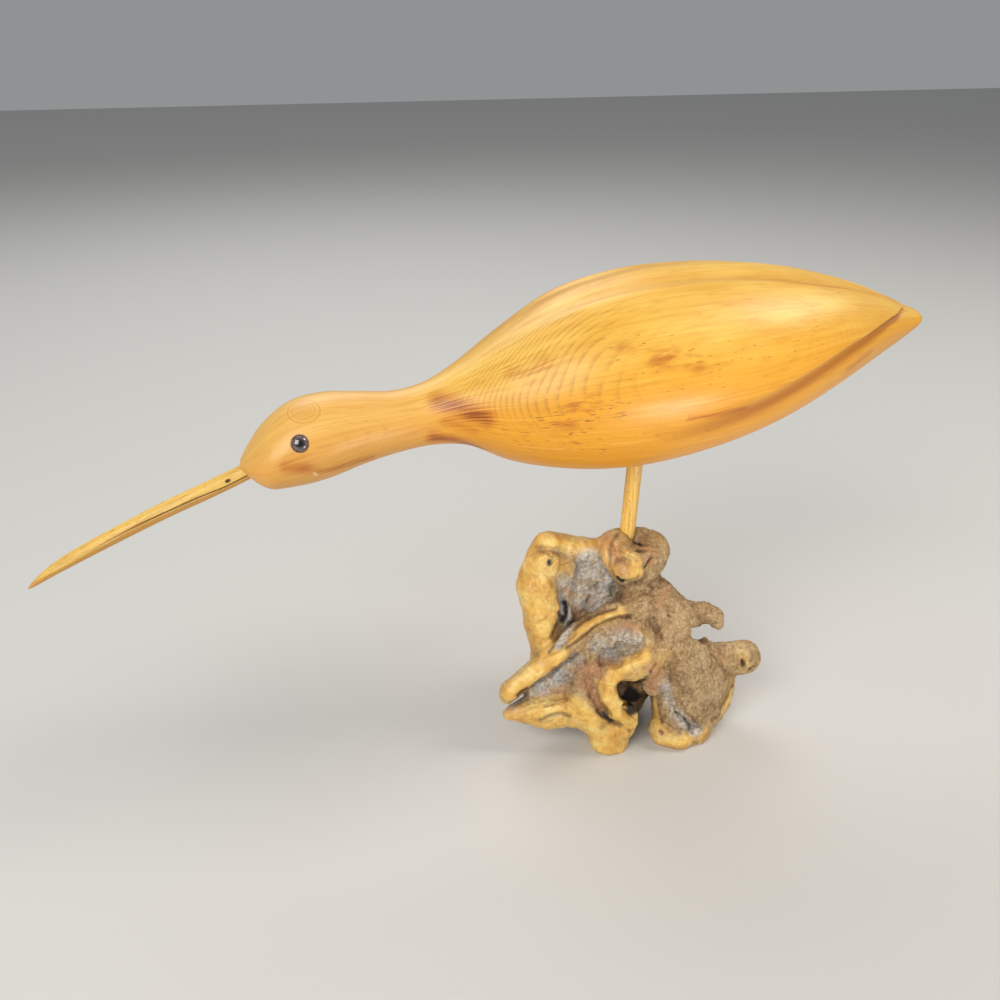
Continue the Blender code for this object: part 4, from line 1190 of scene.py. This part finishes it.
def make_bird():
    first = BIRD_STATIONS[0]
    last = BIRD_STATIONS[-1]
    nose = Vector((first[0], 0.0, 0.5 * (first[1] + first[2]))) * CM
    tail = Vector((last[0], 0.0, 0.5 * (last[1] + last[2]))) * CM
    bm = drawn_ball([bird_ring(x) for x in bird_ring_places()], nose, tail)
    bird = piece("carved_bird", bm, ["bird_body"])
    drill = bmesh.new()
    add_rod(drill, BILL_BORE_RADIUS * CM + GAP,
            bill_place(BILL_STATIONS[0][0], 0.0, 0.0) - BILL_ALONG * GAP,
            bill_place(BILL_BORE_MOUTH[0], 0.0, BILL_BORE_MOUTH[1]))
    for hand in (-1.0, 1.0):
        spot, axis = eye_place(hand)
        add_rod(drill, EYE_RADIUS + GAP, spot - axis * SOCKET_DEPTH, spot + axis * SOCKET_CLEAR)
    add_rod(drill, LEG_RADIUS + GAP, on_leg(BORE_MOUTH), on_leg(LEG_TOP + GAP))
    cut(bird, loose_object("drill", drill))

    places = vertex_places(bird)
    tree = BVHTree.FromObject(bird, bpy.context.evaluated_depsgraph_get())
    turned = mirrored(places)
    write_attribute(bird, "streaks", painted(turned, tree, BIRD_STREAKS))
    write_attribute(bird, "blush", painted(turned, tree, BIRD_BLUSH))
    write_attribute(bird, "flecks", painted(turned, tree, BIRD_FLECKS))
    scratch = painted(places, tree, BIRD_SCRATCH)
    knot_middle = np.array(surface_under(tree, HEAD_KNOT))
    off = (places - knot_middle) / (np.array(HEAD_KNOT_SIZE) * CM)
    write_attribute(bird, "knot", np.clip(1.5 - np.linalg.norm(off, axis=1), 0.0, 1.0))
    lengthwise = []
    marks = {"crease": [], "cove": [], "figure": [], "flank": [], "underside": [],
             "neck": [], "rim": []}
    for place in places:
        x, angle = place_on_ring(place)
        before_tip = 1.0 - smoothstep(*TIP_FADE, x)
        turn = math.radians(angle)
        side = 1.0 if place[1] > 0.0 else -1.0
        lengthwise.append((place[0], side * GIRTH * math.cos(turn), GIRTH * math.sin(turn)))
        low = curve_through(LOWER_EDGE, x)
        up = curve_through(UPPER_EDGE, x)
        # Painted shade in the knife lines round the rear of the wing.
        marks["crease"].append(0.65 * crease_depth(x, angle, low, up))
        # Painted highlight round the tail tip.
        marks["rim"].append(0.6 * smoothstep(BIRD_STATIONS[-1][0] - 0.32,
                                             BIRD_STATIONS[-1][0] - 0.08, x))
        # Painted shade in the hollows below and above the wing edges.
        below_wing = smoothstep(-2.0, 3.2, x) * math.exp(-((angle - low + 6.5) / 6.0) ** 2)
        above_wing = smoothstep(-2.0, 3.0, x) * math.exp(-((angle - up - 3.0) / 3.5) ** 2)
        marks["cove"].append((below_wing + 0.35 * above_wing) * before_tip)
        arcs = (smoothstep(-8.0, -6.5, x) * (1.0 - smoothstep(-3.8, -1.0, x))
                * smoothstep(-12.0, 14.0, angle))
        marks["figure"].append(0.18 + 0.82 * arcs)
        # Deeper orange with painted shade lower on the body: the flank and the underside.
        marks["flank"].append(1.0 - smoothstep(-5.0, 48.0, angle))
        belly = smoothstep(-11.0, -6.0, x) * (1.0 - 0.5 * smoothstep(3.0, 9.0, x))
        marks["underside"].append(belly * (1.0 - smoothstep(-68.0, -8.0, angle)))
        marks["neck"].append(1.0 - smoothstep(-9.5, -6.8, x))
    write_vectors(bird, "lengthwise", lengthwise)
    # The real pale scratch under the chin shares the mark of the tail tip's painted highlight.
    marks["rim"] = np.maximum(marks["rim"], scratch)
    for name, values in marks.items():
        write_attribute(bird, name, values)
    shade(bird, lacquered_cypress(), CARVED_ANGLE)


# The bill and the eyes.


def bill_place(s, across, up):
    return BILL_FACE + (BILL_ALONG * s + BILL_RISE * up) * CM + Vector((0.0, across * CM, 0.0))


def mouth_depth(s):
    return 1.0 - smoothstep(*MOUTH_FADE, s)


def bill_ring(s):
    centre = station(BILL_STATIONS, 1, s)
    thick = station(BILL_STATIONS, 2, s)
    wide = station(BILL_STATIONS, 3, s)
    mouth = (curve_through(MOUTH_LINE, s) - centre) / thick
    mouth_angle = math.degrees(math.asin(min(max(mouth, -0.8), 0.8)))
    reach = math.degrees(2.2 * MOUTH_HALF / thick)
    below, across_it, above = BILL_COLUMNS
    angles = spread(-90.0, mouth_angle - reach, below)
    angles += spread(mouth_angle - reach, mouth_angle + reach, across_it)
    angles += spread(mouth_angle + reach, 90.0, above) + [90.0]
    side = []
    for angle in angles:
        a = math.radians(angle)
        # The knife left flats, so the round is pulled to an octagon.
        flat = 2.0 * math.pi / BILL_FACETS
        off = (a + 0.05 * math.sin(s * 1.3)) % flat - flat / 2.0
        planed = BILL_FLATNESS * math.cos(flat / 2.0) / math.cos(off) + 1.0 - BILL_FLATNESS
        rise = thick * math.sin(a) * planed
        out = wide * math.cos(a) * planed
        gap = (rise + centre - curve_through(MOUTH_LINE, s)) / MOUTH_HALF
        out -= min(MOUTH_DEPTH, 0.3 * wide) * mouth_depth(s) * math.exp(-gap * gap)
        side.append((out, rise + centre))
    side[0] = (0.0, side[0][1])
    side[-1] = (0.0, side[-1][1])
    near = [bill_place(s, -out, rise) for out, rise in side]
    far = [bill_place(s, out, rise) for out, rise in reversed(side[1:-1])]
    return near + far


def make_bill():
    first = BILL_STATIONS[0][0]
    last = BILL_STATIONS[-1][0]
    places = [first + (last - first) * (k / BILL_RINGS) ** 0.85 for k in range(BILL_RINGS + 1)]
    bm = drawn_ball([bill_ring(s) for s in places], bill_place(first, 0.0, 0.0),
                    bill_place(BILL_POINT[0], 0.0, BILL_POINT[1]))
    bill = piece("whittled_bill", bm, ["bill"])
    for hand in (-1.0, 1.0):
        hole = bmesh.new()
        spot = bill_place(NOSTRIL[0], hand * NOSTRIL_OUT, NOSTRIL[1])
        turn = BILL_ALONG.to_track_quat("X", "Z").to_matrix().to_4x4()
        size = Matrix.Diagonal(NOSTRIL_HALVES)
        bmesh.ops.create_uvsphere(hole, u_segments=20, v_segments=12, radius=1.0,
                                  matrix=Matrix.Translation(spot) @ turn @ size)
        cut(bill, loose_object("nostril", hole))
    mouth_and_nostril_shade = []
    lengthwise = []
    underside = []
    for place in vertex_places(bill):
        offset = Vector(place) - BILL_FACE
        s = offset.dot(BILL_ALONG) / CM
        rise = offset.dot(BILL_RISE) / CM
        lengthwise.append((s * CM, place[1], rise * CM))
        gap = (rise - curve_through(MOUTH_LINE, s)) / MOUTH_HALF
        # Painted shade on the lower mandible, below the mouth line.
        underside.append(0.7 * (1.0 - smoothstep(-2.0, 1.0, gap)))
        # Painted shade in the mouth groove and the nostrils.
        groove = mouth_depth(s) * math.exp(-(gap / 0.8) ** 2)
        spot = math.hypot((s - NOSTRIL[0]) / 0.10, (rise - NOSTRIL[1]) / 0.06)
        mouth_and_nostril_shade.append(min(0.95, max(groove, 1.0 - smoothstep(0.7, 1.3, spot))))
    write_attribute(bill, "crease", mouth_and_nostril_shade)
    write_attribute(bill, "underside", underside)
    write_vectors(bill, "lengthwise", lengthwise)
    shade(bill, straight_grained("whittled stick wood", "DDB45A", "C69A44", "C0863A", "84561F",
                                 0.42), 20.0)


def eye_place(hand):
    spot = Vector((EYE_SPOT.x, EYE_SPOT.y * hand, EYE_SPOT.z))
    axis = Vector((EYE_AXIS.x, EYE_AXIS.y * hand, EYE_AXIS.z))
    return spot, axis


def make_eye(name, hand, glass, putty):
    spot, axis = eye_place(hand)
    turn = axis.to_track_quat("Z", "X").to_matrix().to_4x4()
    seat = Matrix.Translation(spot - axis * EYE_SEAT) @ turn
    bm = bmesh.new()
    bmesh.ops.create_uvsphere(bm, u_segments=48, v_segments=32, radius=EYE_RADIUS,
                              matrix=seat @ Matrix.Diagonal((1.0, 1.0, EYE_BULGE / EYE_RADIUS, 1.0)))
    eye = piece(name + "_glass", bm, [name])
    reach = []
    for place in vertex_places(eye):
        offset = Vector(place) - spot
        reach.append((offset - axis * offset.dot(axis)).length / EYE_RADIUS)
    write_attribute(eye, "from_middle", reach)
    shade(eye, glass, 60.0)
    # A thin bead of putty round the glass.
    bead = bmesh.new()
    section = bmesh.ops.create_circle(bead, cap_ends=False, segments=12, radius=PUTTY_RADIUS,
                                      matrix=Matrix.Translation((EYE_RADIUS + PUTTY_CLEAR, 0.0, 0.0))
                                      @ Matrix.Rotation(math.pi / 2, 4, "X"))
    edges = list({edge for vert in section["verts"] for edge in vert.link_edges})
    bmesh.ops.spin(bead, geom=section["verts"] + edges, cent=(0.0, 0.0, 0.0), axis=(0.0, 0.0, 1.0),
                   dvec=(0.0, 0.0, 0.0), angle=2.0 * math.pi, steps=48, use_merge=True)
    bmesh.ops.transform(bead, matrix=seat @ Matrix.Translation((0.0, 0.0, PUTTY_RISE)),
                        verts=bead.verts)
    bmesh.ops.recalc_face_normals(bead, faces=bead.faces)
    ring = piece(name + "_putty", bead, [])
    shade(ring, putty, 60.0)


# The leg.


def on_leg(height):
    return Vector((math.tan(LEG_LEAN) * (height - LEG_CROSSING), 0.0, height))


def make_leg():
    start = on_leg(LEG_BOTTOM)
    axis = on_leg(LEG_TOP) - start
    bm = bmesh.new()
    bmesh.ops.create_circle(bm, cap_ends=True, segments=56, radius=LEG_RADIUS)
    face = bm.faces[:][0]
    for _ in range(LEG_STEPS):
        made = bmesh.ops.extrude_face_region(bm, geom=[face])["geom"]
        verts = [part for part in made if isinstance(part, bmesh.types.BMVert)]
        face = next(part for part in made if isinstance(part, bmesh.types.BMFace))
        bmesh.ops.translate(bm, verts=verts, vec=(0.0, 0.0, axis.length / LEG_STEPS))
    for vert in bm.verts:
        # Shallow flats and ridges that the dowel mill left, under 0.05 mm deep.
        wave = noise.noise(Vector((vert.co.x * 900.0, vert.co.y * 900.0, vert.co.z * 25.0)))
        vert.co.x *= 1.0 - LEG_WEAR * abs(wave)
        vert.co.y *= 1.0 - LEG_WEAR * abs(wave)
    turn = axis.to_track_quat("Z", "Y").to_matrix().to_4x4()
    bmesh.ops.transform(bm, matrix=Matrix.Translation(start) @ turn, verts=bm.verts)
    bmesh.ops.recalc_face_normals(bm, faces=bm.faces)
    leg = piece("dowel_leg", bm, ["leg_dowel"])
    places = vertex_places(leg)
    write_attribute(leg, "crease", np.zeros(len(places)))
    # The side towards the tail is a little duller.
    write_attribute(leg, "underside", np.clip(places[:, 0] / LEG_RADIUS, 0.0, 1.0) * 0.5)
    write_vectors(leg, "lengthwise", places[:, [2, 0, 1]])
    shade(leg, straight_grained("milled dowel wood", "E9BC5C", "CC9C48", "CE9A58", "744C20", 0.5),
          CARVED_ANGLE)


# The root.


def strung_balls(name, runs):
    """Balls strung along each run of wood, closer than they are wide."""
    whole = bmesh.new()
    for run in runs.values():
        strand = bmesh.new()
        for a, b in zip(run[:-1], run[1:]):
            start = Vector(a[:3]) * CM
            end = Vector(b[:3]) * CM
            small = min(a[3], b[3]) * CM
            steps = max(1, math.ceil((end - start).length / (CHAIN_SPACING * small)))
            for k in range(steps + 1):
                t = k / steps
                radius = (a[3] + (b[3] - a[3]) * t) * CM
                bmesh.ops.create_icosphere(strand, subdivisions=3, radius=radius,
                                           matrix=Matrix.Translation(start.lerp(end, t)))
        link = bpy.data.meshes.new(name)
        strand.to_mesh(link)
        strand.free()
        whole.from_mesh(link)
        bpy.data.meshes.remove(link)
    return loose_object(name, whole)


def remesh(obj, size):
    modifier = obj.modifiers.new("remesh", "REMESH")
    modifier.mode = "VOXEL"
    modifier.voxel_size = size
    modifier.adaptivity = 0.0
    bake_modifiers(obj)


def keep_largest_body(obj):
    """Drop loose crumbs left by a cut."""
    bm = bmesh.new()
    bm.from_mesh(obj.data)
    left = set(bm.verts)
    bodies = []
    while left:
        seed = left.pop()
        body = {seed}
        front = [seed]
        while front:
            vert = front.pop()
            for edge in vert.link_edges:
                other = edge.other_vert(vert)
                if other in left:
                    left.discard(other)
                    body.add(other)
                    front.append(other)
        bodies.append(body)
    bodies.sort(key=len)
    loose = [v for body in bodies[:-1] for v in body]
    bmesh.ops.delete(bm, geom=loose, context="VERTS")
    bm.to_mesh(obj.data)
    bm.free()


def run_shares(places, values):
    """A finish given run by run, blended where the runs meet."""
    total = np.full(len(places), 1e-9)
    mixed = np.zeros(len(places))
    for name, run in ROOT_RUNS.items():
        line = [Vector(ball[:3]) * CM for ball in run]
        radius = sum(ball[3] for ball in run) / len(run) * CM
        weight = np.exp(-np.maximum(distance_to_run(places, line) - radius, -0.002) / 0.0024)
        total += weight
        mixed += weight * values.get(name, 0.0)
    return mixed / total


def root_grain(places):
    """For every place, how far along its run of wood it lies and how far
    out across it, so that fibres and furrows can follow the wood."""
    nearest = np.full(len(places), 1e9)
    grain = np.zeros((len(places), 3))
    for run in ROOT_RUNS.values():
        travelled = 0.0
        for a, b in zip(run[:-1], run[1:]):
            start = np.array(a[:3]) * CM
            step = np.array(b[:3]) * CM - start
            length = np.linalg.norm(step)
            if length == 0.0:
                continue
            along = step / length
            side = np.cross(along, GRAIN_TILT)
            side /= np.linalg.norm(side)
            t = np.clip((places - start) @ along, 0.0, length)
            off = places - start - t[:, None] * along
            depth = np.linalg.norm(off, axis=1) - (a[3] + (b[3] - a[3]) * t / length) * CM
            closer = depth < nearest
            nearest[closer] = depth[closer]
            frame_of_run = (travelled + t, off @ side, off @ np.cross(along, side))
            grain[closer] = np.stack(frame_of_run, axis=1)[closer]
            travelled += length
    return grain


def noise_field(places, size, octaves=3, offset=0.0):
    """Noise at every place, about -1 to 1, with features of the given size."""
    shift = Vector((offset, offset * 0.7, -offset))
    return np.array([noise.fractal(Vector(p) / size + shift, 0.8, 2.0, octaves) for p in places])


def pit_field(places, size, offset=0.0):
    """1 at the middle of scattered cells and 0 at their walls."""
    shift = Vector((offset, -offset, offset * 0.5))
    near = np.array([noise.voronoi(Vector(p) / size + shift)[0][0] for p in places])
    return np.clip(1.0 - near * 2.2, 0.0, 1.0)


def sunken_shade(obj, rays=14, reach=0.010):
    """How much of the sky a place on the root can't see, nearby, 0 to 1."""
    tree = BVHTree.FromObject(obj, bpy.context.evaluated_depsgraph_get())
    places = vertex_places(obj)
    normals = vertex_normals(obj)
    fan = []
    for k in range(rays):
        z = 1.0 - (k + 0.5) / rays * 0.85
        turn = k * 2.39996
        r = math.sqrt(1.0 - z * z)
        fan.append(Vector((r * math.cos(turn), r * math.sin(turn), z)))
    shade_values = np.zeros(len(places))
    for k, (place, normal) in enumerate(zip(places, normals)):
        up = Vector(normal)
        start = Vector(place) + up * 0.0004
        turn = up.to_track_quat("Z", "Y")
        hits = 0
        for aim in fan:
            if tree.ray_cast(start, turn @ aim, reach)[0] is not None:
                hits += 1
        shade_values[k] = hits / rays
    return shade_values


def root_finish(places, tree):
    """How waxed and how weathered every place on the root is."""
    front_grey = painted(places, tree, ROOT_WEATHERED)
    front_wax = painted(places, tree, ROOT_WAXED)
    waxed = np.maximum(run_shares(places, RUN_WAX) * (1.0 - front_grey), front_wax)
    weathered = np.maximum(run_shares(places, RUN_GREY) * (1.0 - front_wax), front_grey)
    return waxed, weathered


def carve(obj, strokes):
    """Work gouges and beads into the root, square to its surface."""
    places = vertex_places(obj)
    tree = BVHTree.FromObject(obj, bpy.context.evaluated_depsgraph_get())
    lift = np.zeros(len(places))
    for radius, height, pixels in strokes.values():
        lift += height * CM * stroke(places, tree, radius, pixels)
    move_vertices(obj, places + vertex_normals(obj) * lift[:, None])


def make_root():
    root = strung_balls("root_burl_wood", ROOT_RUNS)
    remesh(root, ROOT_VOXEL)
    hollows = strung_balls("root_hollows", ROOT_HOLLOWS)
    remesh(hollows, ROOT_VOXEL)
    cut(root, hollows, "MANIFOLD")
    remesh(root, ROOT_VOXEL)
    worn = root.modifiers.new("worn", "SMOOTH")
    worn.factor = 0.5
    worn.iterations = ROOT_SMOOTHING
    bake_modifiers(root)
    keep_largest_body(root)
    carve(root, ROOT_FORMS)
    bpy.context.view_layer.update()
    carve(root, ROOT_STROKES)
    bpy.context.view_layer.update()

    # Lumps all over, then grain, pits and grit where it isn't waxed.
    places = vertex_places(root)
    tree = BVHTree.FromObject(root, bpy.context.evaluated_depsgraph_get())
    waxed, weathered = root_finish(places, tree)
    rough = np.clip(1.0 - waxed, 0.0, 1.0)
    furrows = 0.5 - np.abs(noise_field(root_grain(places) / FURROW_SIZE, 1.0, 2, 2.3))
    crumples = 0.4 - np.abs(noise_field(places, CRUMPLE_SIZE, 3, 9.7))
    lift = np.zeros(len(places))
    for size, begin in LUMPS:
        lift += LUMP_HEIGHT * noise_field(places, size, 3, begin)
    lift += (0.22 + 0.10 * rough) * FURROW_HEIGHT * furrows
    lift += (0.10 + 0.55 * weathered + 0.30 * rough) * CRUMPLE_HEIGHT * crumples
    lift += rough * GRIT_HEIGHT * noise_field(places, GRIT_SIZE, 3, 7.3)
    lift -= PIT_DEPTH * pit_field(places, PIT_SIZE, PIT_START) ** 2 * (0.2 + 0.8 * rough)
    move_vertices(root, places + vertex_normals(root) * lift[:, None])

    block = bmesh.new()
    bmesh.ops.create_cube(block, size=BLOCK_SIZE,
                          matrix=Matrix.Translation((0.0, 0.0, -0.5 * BLOCK_SIZE)))
    cut(root, loose_object("foot_block", block))
    drill = bmesh.new()
    add_rod(drill, LEG_RADIUS + GAP, on_leg(LEG_BOTTOM - GAP), on_leg(BORE_MOUTH))
    cut(root, loose_object("root_drill", drill))
    keep_largest_body(root)
    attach(root, "root")
    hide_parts("root_burl")

    places = vertex_places(root)
    tree = BVHTree.FromObject(root, bpy.context.evaluated_depsgraph_get())
    waxed, weathered = root_finish(places, tree)
    write_attribute(root, "waxed", waxed)
    write_attribute(root, "weathered", weathered)
    write_attribute(root, "rusty", painted(places, tree, ROOT_RUSTY))
    rough = np.clip(1.0 - waxed, 0.0, 1.0)
    # Painted shade in the pits of the bare wood, the same pits that are carved above.
    write_attribute(root, "pitted", 0.6 * rough * pit_field(places, PIT_SIZE, PIT_START) ** 2)
    # Painted shade in the narrow gouges, darker the deeper the gouge.
    creased = [(radius * 0.9, min(1.0, -height / 0.09), pixels)
               for radius, height, pixels in ROOT_STROKES.values()
               if height < 0.0 and radius < SHADED_CREASE_REACH]
    write_attribute(root, "creased", painted(places, tree, creased))
    # Painted shade: the share of the sky that nearby wood hides, for a soft orange-brown darkening.
    sheltered = sunken_shade(root)
    write_attribute(root, "sheltered", np.clip((sheltered - 0.02) / 0.36, 0.0, 1.0))
    # Painted shade, nearly black: where nearby wood hides most of the sky, and at the listed deep
    # spots.
    hidden = np.clip((sheltered - 0.24) / 0.50, 0.0, 1.0) ** 1.3
    painted_hollow_shade = np.clip(painted(places, tree, ROOT_PAINTED_SHADE) * 2.6 - 0.7, 0.0, 1.0)
    write_attribute(root, "sunken", np.maximum(hidden * 0.93, painted_hollow_shade))
    write_vectors(root, "lengthwise", root_grain(places))
    shade(root, root_burl_wood(), 80.0)


# The studio.


def make_studio():
    bm = bmesh.new()
    bmesh.ops.create_grid(bm, x_segments=1, y_segments=1, size=3.0)
    floor = loose_object("studio_floor", bm)
    floor.data.materials.append(studio_floor())
    world = bpy.data.worlds.new("soft_room")
    bpy.context.scene.world = world
    world.use_nodes = True
    background = world.node_tree.nodes["Background"]
    background.inputs["Color"].default_value = linear("DADDE0")
    background.inputs["Strength"].default_value = 0.40
    # Side in metres, power in watts and spread in degrees. The low one is
    # narrowed so that it lights no patch of the floor.
    for name, place, aim, size, power, spread_angle, colour in (
        ("wing_softbox", (0.80, -0.16, 1.05), (0.0, 0.0, 0.15), 0.50, 8.0, 180.0, "FFF9F0"),
        ("front_softbox", (-0.80, -0.80, 0.80), (0.0, 0.0, 0.12), 0.80, 14.0, 180.0, "FFFCF6"),
        ("back_softbox", (-0.10, 0.85, 1.05), (0.0, 0.0, 0.15), 0.80, 6.0, 180.0, "FFFFFF"),
        ("low_card", (0.080, -0.29, 0.02), (0.02, -0.04, 0.135), 0.09, 0.10, 74.0, "FFFFFF"),
    ):
        light = bpy.data.lights.new(name, "AREA")
        light.shape = "SQUARE"
        light.size = size
        light.energy = power
        light.spread = math.radians(spread_angle)
        light.color = linear(colour)[:3]
        lamp = bpy.data.objects.new(name, light)
        lamp.location = place
        lamp.rotation_euler = (Vector(aim) - Vector(place)).to_track_quat("-Z", "Y").to_euler()
        bpy.context.scene.collection.objects.link(lamp)
    bpy.context.scene.view_settings.view_transform = "Standard"


make_bird()
make_bill()
eye_glass = glass_eye()
putty = eye_putty()
make_eye("eye_left", -1.0, eye_glass, putty)
make_eye("eye_right", 1.0, eye_glass, putty)
make_leg()
make_root()
make_studio()
